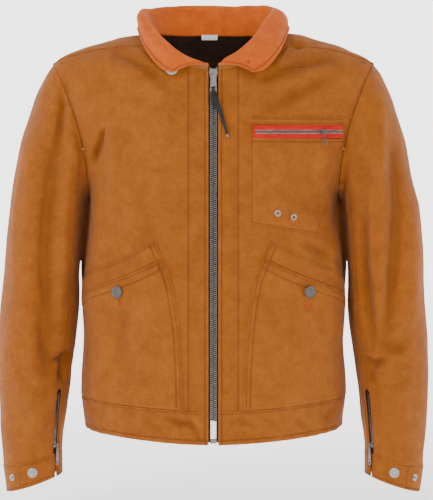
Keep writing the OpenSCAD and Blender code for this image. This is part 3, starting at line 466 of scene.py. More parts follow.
def shell(name, fn, lo, hi, mats, su=4, sv=4, lines={}, free=("u0", "u1", "v0", "v1"), raised=(), sg=1,
          lift=None, r=1.2, disp=True, sew="canvas", pucker=.3, node=None, bodyname="jacket",
          near={}, ridge=0, fix=None, declare=True, riding=True):
    """a two-sided piece of cloth. lines gives the distances of its rows of stitches from each edge"""
    nr = {}
    for e in ("u0", "u1", "v0", "v1"):
        q = [.3, .8, 1.6]
        for g in lines.get(e, ()):
            q += [g - 1.5, g - .7, g, g + .7, g + 1.6]
        nr[e] = tuple(sorted(set(round(t, 3) for t in q if t > 0))) + tuple(near.get(e, ()))
    u, v, D, Tu, Tv = grid(fn, su, sv, nr["u0"], nr["u1"], nr["v0"], nr["v1"])
    P = fn(u, v)
    N = unit(np.cross(np.gradient(P, axis=1), np.gradient(P, axis=0)))
    if fix is not None:
        N = fix(P, N)
    h = np.zeros(u.shape) if lift is None else lift(u, v, D)
    P, N = P * [sg, 1, 1], N * [sg, 1, 1]
    fo = folds(P, N) if disp else np.zeros(u.shape)
    h = h + fo
    groove = np.zeros(u.shape)
    for e, ds in lines.items():
        along_ = D["v0"] if e[0] == "u" else D["u0"]
        for g in ds:
            groove += np.exp(-((D[e] - g) / .95) ** 2)
        if ds and pucker:
            gm = max(ds)
            ph = rng.uniform(0, 6, 4)
            wave = sum(np.sin(along_ / l + p) for l, p in zip((2.9, 3.7, 5.3, 8.1), ph)) / 2
            h = h + pucker * wave * np.exp(-((D[e] - gm * .7) / (gm * .8 + 3)) ** 2)
    h = h - .9 * groove
    for e in raised:
        h = h + ridge * (1 - smooth(D[e], max(lines.get(e, (5,))) - 1, max(lines.get(e, (5,))) + 1.5))
    e = np.minimum.reduce([D[q] for q in free]) if free else np.full(u.shape, 9.)
    f = np.sqrt(np.clip(1 - (1 - np.clip(e / r, 0, 1)) ** 2, 0, 1))
    f = np.maximum(f, .12)
    mid = (lo + hi) / 2
    O = P + N * (mid + (hi - mid) * f + h)[..., None]
    I = P + N * (mid + (lo - mid) * f + np.where(h > 0, h, h * .8))[..., None]
    n, m = u.shape
    k = n * m
    idx = np.arange(k).reshape(n, m)
    q = np.stack([idx[:-1, :-1], idx[:-1, 1:], idx[1:, 1:], idx[1:, :-1]], -1).reshape(-1, 4)
    rim = []
    b = np.concatenate([idx[0, :], idx[1:, -1], idx[-1, -2::-1], idx[-2:0:-1, 0]])
    for i in range(len(b)):
        x, y = b[i], b[(i + 1) % len(b)]
        rim.append((x, y, y + k, x + k))
    F = np.concatenate([q, q[:, ::-1] + k, np.array(rim)])
    uv = np.stack([D["u0"], D["v0"]], -1).reshape(-1, 2)
    edge = 1 - smooth(e, 0, 3)
    # seam: wear at the free edges, minus painted shade in the stitch grooves, plus painted shade in fold
    # valleys and a faint painted highlight on fold ridges; the inner faces get none
    seam = (edge * .8 - groove * .7 + np.clip(fo * .055, -.38, .2)).ravel()
    o = obj(name, np.concatenate([O.reshape(-1, 3), I.reshape(-1, 3)]), F, mats, np.concatenate([uv, uv]),
            seam=np.concatenate([seam, seam * 0]))
    if len(o.data.materials) > 1:
        mi = np.zeros(len(F), int)
        mi[len(q):2 * len(q)] = 1
        o.data.polygons.foreach_set("material_index", mi)
    for edge_, ds in lines.items():
        T = Tu if edge_[0] == "u" else Tv
        for g in ds:
            j = int(np.argmin(abs((T if edge_[1] == "0" else T[-1] - T) - g)))
            row = (slice(None), j) if edge_[0] == "u" else j
            stitch(sew, O[row] + N[row] * .1, N[row])
    if riding:
        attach(o, bodyname)
    if node:
        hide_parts(node)
    if declare:
        area = sum(p.area for p in o.data.polygons) / 2
        w, l = max(Tu[-1] * .001, .0101), max(Tv[-1] * .001, .0101)
        if area > w * l:
            l = area / w * 1.001
    return o


def ride(o, bodyname, slot, *nodes):
    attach(o, bodyname)
    if nodes:
        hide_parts(*nodes)
    return o


# ------------------------------------------------------------ materials
def mat(name, **inputs):
    m = bpy.data.materials.new(name)
    m.use_nodes = True
    b = m.node_tree.nodes["Principled BSDF"]
    for k, v in inputs.items():
        b.inputs[k.replace("_", " ")].default_value = v
    return m, m.node_tree, b


def node(nt, kind, **kw):
    """a new node; keywords set its inputs by name, or else its properties"""
    n = nt.nodes.new(kind)
    for k, v in kw.items():
        if k.replace("_", " ") in n.inputs.keys():
            n.inputs[k.replace("_", " ")].default_value = v
        else:
            setattr(n, k, v)
    return n


def noise(nt, at, scale, detail, rough=.5):
    n = node(nt, "ShaderNodeTexNoise", Scale=scale, Detail=detail, Roughness=rough)
    nt.links.new(at, n.inputs["Vector"])
    return n.outputs["Fac"]


def times(nt, a, k, plus=None, clamp=False):
    """a * k, with plus added"""
    kind = "MULTIPLY" if plus is None else "MULTIPLY_ADD"
    n = node(nt, "ShaderNodeMath", operation=kind, use_clamp=clamp)
    nt.links.new(a, n.inputs[0])
    n.inputs[1].default_value = k
    if plus is not None:
        nt.links.new(plus, n.inputs[2])
    return n.outputs[0]


def spread(nt, value, **ends):
    n = node(nt, "ShaderNodeMapRange", **ends)
    nt.links.new(value, n.inputs["Value"])
    return n.outputs["Result"]


def ramp(nt, fac, first, last, *between):
    """a colour ramp; each stop is a position and a colour"""
    n = node(nt, "ShaderNodeValToRGB")
    stops = n.color_ramp.elements
    for stop, (place_, colour) in zip(stops, (first, last)):
        stop.position, stop.color = place_, (*colour, 1)
    for place_, colour in between:
        stops.new(place_).color = (*colour, 1)
    nt.links.new(fac, n.inputs["Fac"])
    return n.outputs["Color"]


def mixed(nt, fac, a, colour):
    n = node(nt, "ShaderNodeMixRGB", blend_type="MIX", Color2=(*colour, 1))
    nt.links.new(fac, n.inputs["Fac"])
    nt.links.new(a, n.inputs["Color1"])
    return n.outputs["Color"]


def bumps(nt, b, height, strength, distance):
    n = node(nt, "ShaderNodeBump", Strength=strength, Distance=distance)
    nt.links.new(height, n.inputs["Height"])
    nt.links.new(n.outputs["Normal"], b.inputs["Normal"])


def cloth(name, base, dark, light, rough=.9, sheen=.3, weave=.0011, bump=.35, mottle=.5, tint=(1, .9, .8, 1),
          nap=0.):
    """mottled cloth, paler at worn edges and with a faint painted highlight on fold ridges, and darker with
    painted shade in stitch grooves and fold valleys, where the mesh's seam value says
    """
    m, nt, b = mat(name, Roughness=rough, Sheen_Weight=sheen, Sheen_Roughness=.5, Sheen_Tint=tint,
                   Specular_IOR_Level=.2)
    at = node(nt, "ShaderNodeTexCoord").outputs["Object"]
    big, mid, fine = noise(nt, at, 48, 5, .6), noise(nt, at, 150, 4, .7), noise(nt, at, 620, 3, .7)
    mix = times(nt, fine, mottle * .8, times(nt, mid, mottle, big))
    c = .5 + mottle * .5 + mottle * .4
    colour = ramp(nt, spread(nt, mix, From_Min=c - .32, From_Max=c + .32), (0, dark), (1, light), (.5, base))
    seam = node(nt, "ShaderNodeAttribute", attribute_name="seam").outputs["Fac"]
    # real wear at the edges, plus a faint painted highlight on fold ridges
    wear_and_ridge_highlight = mixed(nt, times(nt, seam, .12, clamp=True), colour, [min(1, x * 1.5 + .02) for x in light])
    # painted shade in stitch grooves and fold valleys
    painted_crease_shade = mixed(nt, times(nt, seam, -1.15, clamp=True), wear_and_ridge_highlight, [x * .55 for x in dark])
    nt.links.new(painted_crease_shade, b.inputs["Base Color"])
    uv = node(nt, "ShaderNodeUVMap", uv_map="cut").outputs["UV"]
    turned = node(nt, "ShaderNodeMapping", Rotation=(0, 0, math.radians(62)))
    nt.links.new(uv, turned.inputs["Vector"])
    twill = node(nt, "ShaderNodeTexWave", wave_type="BANDS", bands_direction="X", Scale=.314 / weave,
                 Distortion=1.2, Detail=2, Detail_Scale=1.5)
    nt.links.new(turned.outputs["Vector"], twill.inputs["Vector"])
    weft = node(nt, "ShaderNodeTexWave", wave_type="BANDS", bands_direction="Y", Scale=.314 / weave * 1.3,
                Distortion=.8, Detail=1)
    nt.links.new(uv, weft.inputs["Vector"])
    height = times(nt, twill.outputs["Fac"], .7 * (1 - nap), fine)
    height = times(nt, weft.outputs["Fac"], .35 * (1 - nap), height)
    bumps(nt, b, times(nt, mid, 1.2, height), bump, .0006)
    return m


def metal(name, base, rough=.35, dirt=.5):
    m, nt, b = mat(name, Metallic=1)
    at = node(nt, "ShaderNodeTexCoord").outputs["Object"]
    patches = noise(nt, at, 420, 5, .7)
    nt.links.new(ramp(nt, patches, (.35, [x * dirt for x in base]), (.62, base)), b.inputs["Base Color"])
    nt.links.new(spread(nt, patches, To_Min=rough + .18, To_Max=rough - .08), b.inputs["Roughness"])
    bumps(nt, b, noise(nt, at, 2600, 2), .12, .0002)
    return m


def leather(name, base):
    m, nt, b = mat(name, Specular_IOR_Level=.22)
    at = node(nt, "ShaderNodeTexCoord").outputs["Object"]
    patches = noise(nt, at, 260, 6)
    colour = ramp(nt, patches, (.35, [x * .6 for x in base]), (.7, [x * 2.2 for x in base]))
    nt.links.new(colour, b.inputs["Base Color"])
    nt.links.new(spread(nt, patches, To_Min=.55, To_Max=.75), b.inputs["Roughness"])
    grain = node(nt, "ShaderNodeTexVoronoi", Scale=900)
    nt.links.new(at, grain.inputs["Vector"])
    bumps(nt, b, grain.outputs["Distance"], .5, .0003)
    return m


CANVAS = cloth("canvas_cloth", (.285, .078, .0065), (.225, .057, .0045), (.345, .102, .010), mottle=.8,
               sheen=.08)
BAG = cloth("pocket_cloth", (.29, .079, .0065), (.23, .058, .0045), (.35, .103, .010), weave=.0012,
            mottle=.8, sheen=.08)
# painted shade: the inside is the same canvas as the outside, given this much darker brown so the inner
# faces, the facings and their stitches look shaded
INSIDE_SHADE = cloth("inside_canvas_painted_shade", (.055, .026, .014), (.035, .016, .010), (.075, .036, .02), sheen=.1,
               weave=.0008)
ORANGE = cloth("brushed_collar", (.50, .088, .0055), (.41, .066, .004), (.60, .118, .009), sheen=.12,
               weave=.0014, bump=.4, tint=(1, .8, .6, 1), nap=.7)
UNDER = cloth("under_collar", (.30, .10, .014), (.25, .08, .01), (.34, .12, .018), weave=.0012)
TAPE = cloth("zip_tape_cloth", (.014, .014, .015), (.009, .009, .01), (.022, .022, .023), sheen=.1,
             weave=.0009, bump=.6)
RED = cloth("red_tape_cloth", (.52, .006, .004), (.43, .004, .003), (.6, .012, .008), sheen=.04, weave=.0009,
            bump=.5)
REDTHREAD = cloth("red_thread", (.5, .008, .006), (.4, .005, .004), (.6, .016, .012), weave=.0005)
THREAD = cloth("tan_thread", (.27, .085, .012), (.2, .058, .007), (.35, .12, .02), sheen=.2, weave=.0005,
               bump=.5)
OTHREAD = cloth("orange_thread", (.5, .11, .015), (.4, .08, .01), (.6, .15, .025), weave=.0005, bump=.5)
LABEL = cloth("label_satin", (.74, .73, .69), (.66, .65, .6), (.8, .79, .76), rough=.6, weave=.0006, bump=.2)
ZINC = metal("zip_nickel", (.27, .26, .25), .38)
TOOTH = metal("tooth_nickel", (.42, .41, .39), .42, .35)
GUN = metal("gunmetal", (.15, .145, .14), .38, .6)
SNAP = metal("snap_nickel", (.44, .43, .41), .28, .5)
HIDE = leather("black_leather", (.014, .013, .013))


# ------------------------------------------------------------ calm places, where hardware sits on the cloth
def calm(P):
    x, y, z = P[..., 0], P[..., 1], P[..., 2]
    front = smooth(-y, 0, 30)
    k = np.ones(x.shape)
    k *= 1 - front * (1 - smooth(abs(x), 11, 30)) * smooth(-z, 20, 50)
    band = smooth(x, 30, 50) * smooth(z, -176, -166)
    band = band * (1 - smooth(z, -132, -122)) * (1 - smooth(x, 196, 214))
    k *= 1 - front * band * .85
    for c, r in (((BUTTON_X, BUTTON_Z), 9), ((-BUTTON_X, BUTTON_Z), 9), (EYELETS[0], 6), (EYELETS[1], 6),
                 (TACK, 9), ((132, -399), 6), ((-132, -399), 6)):
        k *= 1 - front * (1 - smooth(np.hypot(x - c[0], z - c[1]), r, r * 2.2))
    out = smooth(abs(x), 200, 215)
    k *= 1 - out * (1 - smooth(z, -652, -625))
    for sg in (-1, 1):
        d = np.hypot(x - sg * 228, y + 42)
        k *= 1 - smooth(sg * x, 196, 206) * (1 - smooth(d, 16, 34)) * (1 - smooth(z, -525, -500)) * .9
    return k


RIM = armhole(np.arange(0, 360, 2.5))


def near_rim(P):
    """distance from the armholes"""
    Q = np.abs(P[..., 0:1]) * [1, 0, 0] + P * [0, 1, 1]
    d = np.full(P.shape[:-1], 1e9)
    for r in RIM:
        d = np.minimum(d, ((Q - r) ** 2).sum(-1))
    return np.sqrt(d)


def folds(P, N):
    return all_folds(P, N) * calm(P) * smooth(near_rim(P), .5, 13)


# ------------------------------------------------------------ camera and room
cam = bpy.data.objects.new("camera", bpy.data.cameras.new("camera"))
bpy.context.scene.collection.objects.link(cam)
cam.location = (.0045, -3.2, -.15)
cam.rotation_euler = (Vector((.0045, 0, -.3255)) - cam.location).to_track_quat("-Z", "Y").to_euler()
cam.data.lens = 153.83
cam.data.clip_end = 30
bpy.context.scene.camera = cam

# a round bowl of paper: floor, quarter round and wall, as (radius, height) in m
FLOOR = -.735
room = []
for i in range(21):
    t = i / 20
    if t < .3:
        room.append((t / .3 * 6.5, FLOOR))
    elif t < .75:
        a = (t - .3) / .45 * math.pi / 2
        room.append((6.5 + math.sin(a) * 2, FLOOR + 2 * (1 - math.cos(a))))
    else:
        room.append((8.5, 1.265 + (t - .75) / .25 * 5))
V, F = [(0, 0, FLOOR)], []
for i, (r_, z) in enumerate(room[1:]):
    for j in range(64):
        V.append((r_ * math.cos(j / 32 * math.pi), r_ * math.sin(j / 32 * math.pi), z))
        k, l = 1 + i * 64, (j + 1) % 64
        F.append((0, 1 + j, 1 + l) if i == 0 else (k - 64 + j, k + j, k + l, k - 64 + l))
me = bpy.data.meshes.new("backdrop")
me.from_pydata(V, [], F)
me.polygons.foreach_set("use_smooth", [True] * len(me.polygons))
drop = bpy.data.objects.new("backdrop", me)
bpy.context.scene.collection.objects.link(drop)
m, nt, b = mat("paper", Base_Color=(.93, .93, .925, 1), Emission_Color=(1, 1, 1, 1), Roughness=.95,
               Specular_IOR_Level=.1)
apart = node(nt, "ShaderNodeSeparateXYZ")
nt.links.new(node(nt, "ShaderNodeNewGeometry").outputs["Position"], apart.inputs[0])
far = spread(nt, apart.outputs["Y"], From_Min=-1.5, From_Max=2, To_Min=.22, To_Max=1.9)
nt.links.new(far, b.inputs["Emission Strength"])
me.materials.append(m)


def lamp(name, loc, at, size, power, colour=(1, 1, 1)):
    d = bpy.data.lights.new(name, "AREA")
    d.shape, d.size, d.size_y, d.energy, d.color = "RECTANGLE", size[0], size[1], power, colour
    o = bpy.data.objects.new(name, d)
    o.location = loc
    o.rotation_euler = (Vector(at) - Vector(loc)).to_track_quat("-Z", "Y").to_euler()
    bpy.context.scene.collection.objects.link(o)


lamp("key", (-1.2, -1.8, 1.9), (0, 0, -.35), (.6, .6), 43, (1, .985, .96))
lamp("fill", (1.1, -3.0, .3), (0, 0, -.4), (1.2, 1.2), 12, (.98, .99, 1))
lamp("top", (0, .1, 2.2), (0, 0, -.3), (1.5, 1), 16)
lamp("behind", (0, 2.6, 1.8), (0, .1, -.3), (1.6, 1), 7)
world = bpy.data.worlds.new("world")
bpy.context.scene.world = world
world.use_nodes = True
world.node_tree.nodes["Background"].inputs["Color"].default_value = (1, 1, 1, 1)
world.node_tree.nodes["Background"].inputs["Strength"].default_value = .09


# ------------------------------------------------------------ torso
def lerp(a, b, t):
    return a + (b - a) * t


def body_fn(z0, z1, a, b):
    def fn(u, v):
        z = lerp(z0, z1, v)
        return body(z, lerp(a(z), b(z), u))
    return fn


C = lambda k: (lambda z: k)
SIDES = (("left", 1), ("right", -1))
# the inner faces take the darker copy of the canvas, painted shade
cloth_mats = [CANVAS, INSIDE_SHADE]
for q, sg in SIDES:
    shell("front_cloth_" + q, body_fn(-557, -20.2, front_in, lambda z: front_out(z) - .1), -CLOTH, 0,
          cloth_mats, su=3.4, sv=3.6, sg=sg, lines=dict(u0=(5, 29), u1=(3,)), node="front_" + q, pucker=.22)
    shell("front_band_" + q, body_fn(-600, -552.2, front_in, C(89.9)), -CLOTH, 1.1, cloth_mats, su=3, sv=2.6,
          sg=sg, lines=dict(v1=(2.6,), v0=(7,), u0=(5,)), node="waistband_" + q, pucker=.9,
          raised=("v1", "v0"), ridge=.35)
    shell("placket_facing_" + q, body_fn(-548, -62, lambda z: front_angle(10., z),
                                         lambda z: front_angle(36., z)), -5.1, -4, [INSIDE_SHADE], su=5, sv=5,
          sg=sg, lines=dict(u1=(2,)), node="front_facing_" + q, sew="dark", r=.5)
shell("back_cloth", body_fn(-557, -105, lambda z: back_out(z) + .2, lambda z: 359.8 - back_out(z)),
      -CLOTH, 0, cloth_mats, su=3.6, sv=3.8, lines=dict(u0=(3,), u1=(3,)), node="back_panel", pucker=.22)
shell("yoke_cloth", body_fn(-109.7, -.6, lambda z: back_out(z) + .2, lambda z: 359.8 - back_out(z)),
      -CLOTH, 0, cloth_mats, su=3.6, sv=3, lines=dict(v0=(2, 8.5), u0=(2.4, 8.5), u1=(2.4, 8.5)),
      raised=("v0", "u0", "u1"), ridge=.7, node="shoulder_yoke", pucker=.3)
shell("back_band", body_fn(-600, -552.2, C(90.1), C(269.9)), -CLOTH, 1.1, cloth_mats, su=3, sv=2.6,
      lines=dict(v1=(2.6,), v0=(7,)), node="waistband_back", pucker=.9, raised=("v1", "v0"), ridge=.35)
shell("neck_facing", body_fn(-86, -1.5, C(118), C(242)), -4, -2.8, [INSIDE_SHADE], su=5, sv=4, lines=dict(v0=(3,)),
      node="neck_lining", sew="dark", r=.5)


# ------------------------------------------------------------ sleeves and cuffs
def gap(s):
    return .3 + 5.3 * smooth(s, .7600, .7683)


def sleeve_fn(s0, s1, a, b):
    def fn(u, v):
        s = lerp(s0, s1, v)
        return sleeve(s, lerp(a(s), b(s), u))
    return fn


for q, sg in SIDES:
    shell("sleeve_cloth_" + q, sleeve_fn(0, CUFF_S + .0055, C(-104.7), lambda s: SEAM - gap(s)), -CLOTH, 0,
          cloth_mats, su=3.5, sv=3.8, sg=sg, lines=dict(u0=(2.4, 8.5), u1=(2.4,)), raised=("u0",), ridge=.6,
          free=("u0", "u1", "v1"), node="sleeve_top_" + q)
    shell("undersleeve_" + q, sleeve_fn(0, CUFF_S + .0055, lambda s: SEAM + gap(s), C(254.7)), -CLOTH, 0,
          cloth_mats, su=3.5, sv=3.8, sg=sg, lines=dict(u0=(2.4,)), free=("u0", "u1", "v1"),
          node="sleeve_under_" + q)
    shell("cuff_cloth_" + q, sleeve_fn(.936, .9995, C(-211.9), C(142.9)), -CLOTH, .6, cloth_mats, su=3,
          sv=2.4, sg=sg, lines=dict(v0=(2.4,), v1=(3.5,), u0=(3,), u1=(3,)), raised=("v0", "v1"), ridge=.3,
          node="cuff_" + q, pucker=.5)


def on_sleeve(s, a, lift=0.):
    return sleeve(s, a) + sleeve_n(s, a) * lift


def tab_fn(u, v):
    """a tongue whose end narrows a little, with rounded corners"""
    w = np.clip(u / .13, 0, 1)
    half = .5 * (1 - .42 * (1 - np.sqrt(np.clip(1 - (1 - w) ** 2, 0, 1))))
    s = lerp(.939, .996, .5 + (v - .5) * 2 * half)
    return sleeve(s, lerp(TAB_END, TAB_ROOT, u))


# two points near the root of the cuff tabs, just above the sleeve
hinge = on_sleeve(.965, TAB_ROOT, .75)
turn = on_sleeve(.965, TAB_ROOT - 10, .75)
TABS = {}
for q, sg in SIDES:
    TABS[q] = shell("cuff_strap_" + q, tab_fn, 1.1, 3.0, [CANVAS, CANVAS], su=2.4, sv=2.2, sg=sg, disp=False,
                    pucker=.12, lines=dict(u0=(2.6,), v0=(2.4,), v1=(2.4,)), node="cuff_tab_" + q,
                    bodyname="cuff_tab_" + q, sew="tab_" + q, riding=False)


# ------------------------------------------------------------ collar
def neck(b):
    z = np.where(b < 90, -ND * np.cos(R(b)), 0.)
    x = NW * np.sin(R(b))
    return stack(x, np.where(b < 90, -front_d(z) * inset(x, z), along(BACKS, 0) * inset(x, 0)), z)


def collar(u, v):
    u, v = np.broadcast_arrays(np.asarray(u, float), np.asarray(v, float))
    b = 180 - abs(u) * 175
    n = neck(b) - [0, 0, 4.]
    r, e = along(ROLL, b), along(LEAF, b)
    out = unit(r * [1, 1, 0])
    Q = [n, (n + r) / 2 - out * 1.5, r - [0, 0, 1], (r + e) / 2 + out * 4 + [0, 0, 4], e]
    X = np.array([0, .22, .45, .7, 1])
    S = [(Q[min(i + 1, 4)] - Q[max(i - 1, 0)]) / (X[min(i + 1, 4)] - X[max(i - 1, 0)]) for i in range(5)]
    out_ = np.zeros(u.shape + (3,))
    for i in range(4):
        m = (v >= X[i]) & ((v <= X[i + 1]) if i == 3 else (v < X[i + 1]))
        h = X[i + 1] - X[i]
        t = np.clip((v - X[i]) / h, 0, 1)[..., None]
        p = (Q[i] * (1 + 2 * t) * (1 - t) ** 2 + Q[i + 1] * t * t * (3 - 2 * t) + S[i] * h * t * (1 - t) ** 2
             - S[i + 1] * h * t * t * (1 - t))
        out_ = np.where(m[..., None], p, out_)
    out_[..., 0] *= np.where(u < 0, -1, 1)
    out_[..., 0] -= 9 * smooth(abs(u), .3, .55) * (1 - smooth(abs(u), .9,
                                                              1)) * np.exp(-((v - .45) / .25) ** 2)
    return out_


def collar_lift(u, v, D):
    u = 2 * u - 1
    g = 0
    r2 = np.random.default_rng(3)
    for wl, amp, num in ((75, .8, 6), (34, .45, 8), (16, .18, 10)):
        for i in range(num):
            a = r2.uniform(0, 6.28)
            g = g + amp / num ** .5 * np.sin((u * 250 * math.cos(a) + v * 100 * math.sin(a)) * 6.28 / wl
                                             + r2.uniform(0, 6.28))
    # dents across the back of the stand, and rolls near the fold
    for uc, vc, du, dv, d in ((-.18, .3, .03, .14, -2), (.1, .33, .035, .12, -1.6),
                              (-.36, .36, .04, .1, -1.6), (.3, .3, .03, .12, -1.4),
                              (-.62, .5, .03, .12, -1.5), (.66, .55, .04, .14, -1.4),
                              (.8, .75, .03, .1, -1.2), (-.8, .7, .03, .12, 1.2), (.48, .62, .05, .1, 1.4)):
        g = g + d * np.exp(-((u - uc) / du) ** 2 - ((v - vc) / dv) ** 2)
    edge = np.minimum(np.minimum(D["v1"], D["u0"]), D["u1"])
    g = g * smooth(edge, 0, 12)
    return g + 1.1 * np.exp(-((edge - 2.2) / 2.2) ** 2) - .7 * np.exp(-((edge - 6.2) / 1.7) ** 2) * (v > .5)


shell("collar_cloth", lambda u, v: collar(2 * u - 1, v), -2.2, 2.2, [ORANGE, UNDER], su=3, sv=2.2,
      lines=dict(v1=(6.2,), u0=(6.2,), u1=(6.2,)), lift=collar_lift, disp=False, pucker=.28, sew="collar",
      node="collar_top", r=2.6)
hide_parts("collar_under")


# ------------------------------------------------------------ pockets
def ease(t):
    return np.sin(np.pi / 2 * np.clip(t, 0, 1)) ** 2


EDGE = [(WAIST, 44), (-480, 46), (-420, 51), (-365, 61), (-331, 74), (-305, 86)]


def pocket_fn(li, ls, ti, ts):
    def fn(u, v):
        z = lerp(lerp(li, ls, u), lerp(ti, ts, u), v)
        return body(z, lerp(front_angle(along(EDGE, z), z), 87, u))
    return fn


for q, sg in SIDES:
    shell("hand_pocket_cloth_" + q, pocket_fn(-551.5, -551.5, -331, -396), .35, 2.15, [BAG, BAG], su=3, sv=3,
          sg=sg, lift=lambda u, v, D: 2.2 * ease(u * 4) * ease((1 - u) * 4) * ease(v * 2),
          lines=dict(u0=(2.4, 9), v1=(3.4, 14)), raised=("v1",), ridge=.5, node="hand_pocket_" + q,
          pucker=.3)
    shell("pocket_mouth_facing_" + q, pocket_fn(-330.4, -395.4, -306, -371), .35, 2.15, [BAG, BAG], su=3,
          sv=2.6, sg=sg, lines=dict(u0=(2.4, 9), v1=(2.4,)), node="pocket_facing_" + q, pucker=.25)

CSIDE = [(-300, 152), (-275, 160), (-235, 171), (-184, 181), (-155, 193), (-125, 193)]


def chest_fn(li, ls, top):
    def fn(u, v):
        z = lerp(lerp(li, ls, u), top, v)
        return body(z, lerp(front_angle(53., z), front_angle(along(CSIDE, z), z), u))
    return fn


shell("chest_band_cloth", chest_fn(-138.5, -138.5, -127), .3, 1.9, [BAG, BAG], su=2.6, sv=1.8,
      lift=lambda u, v, D: 3.4 * ease(u * 7) * ease((1 - u) * 7) * ease((1 - v) * 2),
      lines=dict(v1=(2.2,), v0=(2,)), node="chest_pocket_band", pucker=.12)
shell("chest_bag_cloth", chest_fn(-281, -299, -158), .3, 1.9, [BAG, BAG], su=2.6, sv=2.6,
      lift=lambda u, v, D: 3.4 * ease(u * 7) * ease((1 - u) * 7) * ease(v * 5)
      + .9 * np.exp(-((D["v1"] - 2) / 1.6) ** 2) * ease(u * 9) * ease((1 - u) * 9),
      lines=dict(v1=(4.6,), u0=(2.4,), u1=(2.4,), v0=(2.4,)), node="chest_pocket_bag", pucker=.25)


# ------------------------------------------------------------ label
def label_fn(u, v):
    x = lerp(-18, 6, u)
    return stack(x, 48.25 - .9 * np.sin(np.pi * v) * .2 + .12 * np.sin(x / 3), lerp(-10., -2., v))


shell("blank_label", label_fn, -.25, .25, [LABEL], su=.8, sv=.8, disp=False, pucker=0,
      fix=lambda P, N: np.broadcast_to([0., -1, 0], P.shape), lines=dict(v1=(1,)), sew="label",
      node="size_label", r=.2)


# ------------------------------------------------------------ metal, cut from shapes
def refine(cad, name, width, m, bodyname, slot, segments=2):
    src = frame["nodes"][cad]
    bm = bmesh.new()
    bm.from_mesh(src.data)
    bmesh.ops.transform(bm, matrix=src.matrix_world, verts=bm.verts)
    bmesh.ops.remove_doubles(bm, verts=bm.verts, dist=1e-6)
    bmesh.ops.dissolve_limit(bm, angle_limit=math.radians(1), verts=bm.verts, edges=bm.edges)
    bm.edges.ensure_lookup_table()
    sharp = [e for e in bm.edges if len(e.link_faces) == 2 and e.calc_face_angle(0) > math.radians(32)]
    bmesh.ops.bevel(bm, geom=sharp, offset=width * .001, segments=segments, profile=.5, affect="EDGES",
                    clamp_overlap=True)
    bmesh.ops.triangulate(bm, faces=[f for f in bm.faces if len(f.verts) > 4])
    me = bpy.data.meshes.new(name)
    bm.to_mesh(me)
    bm.free()
    me.materials.clear()
    me.materials.append(m)
    me.polygons.foreach_set("use_smooth", [True] * len(me.polygons))
    me.set_sharp_from_angle(angle=math.radians(42))
    o = bpy.data.objects.new(name, me)
    bpy.context.scene.collection.objects.link(o)
    return ride(o, bodyname, slot, cad)


def lathe(name, profile, P, N, m, slot, nodes, bodyname="jacket", n=48, sg=1, more=()):
    """profiles of (radius, height) turned about N through P; an open end closes on the axis"""
    V, F = [], []
    P, N = np.array(P, float) * [sg, 1, 1], unit(np.array(N, float) * [sg, 1, 1])
    a = unit(np.cross(N, [0, 0, 1.]))
    c = np.cross(N, a)
    for prof in (profile,) + tuple(more):
        k = len(V)
        ring_ = prof[0][0] > 1e-6
        rows = []
        for r, h in prof:
            if r < 1e-6:
                rows.append([len(V)] * n)
                V.append(P + N * h)
            else:
                rows.append(list(range(len(V), len(V) + n)))
                for i in range(n):
                    t = i / n * 2 * math.pi
                    V.append(P + N * h + (a * math.cos(t) + c * math.sin(t)) * r)
        if ring_:
            rows.append(rows[0])
        for r0, r1 in zip(rows, rows[1:]):
            for i in range(n):
                j = (i + 1) % n
                f = []
                for x in (r0[i], r0[j], r1[j], r1[i]):
                    if x not in f:
                        f.append(x)
                if len(f) > 2:
                    F.append(f)
    o = obj(name, V, F, m)
    o.data.set_sharp_from_angle(angle=math.radians(50))
    return ride(o, bodyname, slot, *nodes)


def front_pt(x, z, lift=0.):
    a = front_angle(x, z)
    n = body_n(z, a)
    return body(z, a) + n * lift, n


BUTTON = [(0, 6.6), (2.2, 6.6), (6.2, 6.7), (8, 6.9), (8.8, 7.4), (9, 8), (8.8, 8.7), (8.2, 9.15),
          (7.5, 9.1), (7, 8.65), (6.5, 8.45), (5.4, 8.75), (3.6, 9.05), (1.6, 9), (.9, 8.75), (0, 8.7)]
for q, sg in SIDES:
    P, N = front_pt(BUTTON_X, BUTTON_Z)
    lathe("pocket_tack_" + q, BUTTON, P, N, GUN, "button_metal", ["pocket_button_" + q], sg=sg,
          more=([(0, .2), (2.2, .2), (2.2, 6.7), (0, 6.7)],
                [(2.7, 4.5), (4.6, 4.7), (4.6, 5.2), (2.7, 5.3)]))
P, N = front_pt(*TACK)
lathe("collar_tack", [(0, 3.2), (2.2, 3.2), (2.2, .3), (7.4, .3), (8.8, -.3), (9, -.9), (8.9, -1.6),
                      (8.3, -2.2), (7.4, -2.1), (6.9, -1.6), (5.6, -1.4), (3.2, -1.7), (1, -1.5), (0, -1.5)],
      P + N * 7 + [0, 0, 2.5], N, SNAP, "button_metal", ["collar_button"])
for i, (x, z) in enumerate(EYELETS):
    P, N = front_pt(x, z, 2.9)
    lathe("eyelet_ring_%d" % (i + 1), [(2.5, .1), (2.6, 0), (3.3, 0), (3.4, 2.4), (4.5, 2.35), (4.7, 2.5),
                                       (4.65, 2.85), (4.2, 3.05), (3.4, 3.1), (2.8, 2.95), (2.5, 2.6)], P, N,
          SNAP, "button_metal", ["eyelet_inner" if i == 0 else "eyelet_outer"])
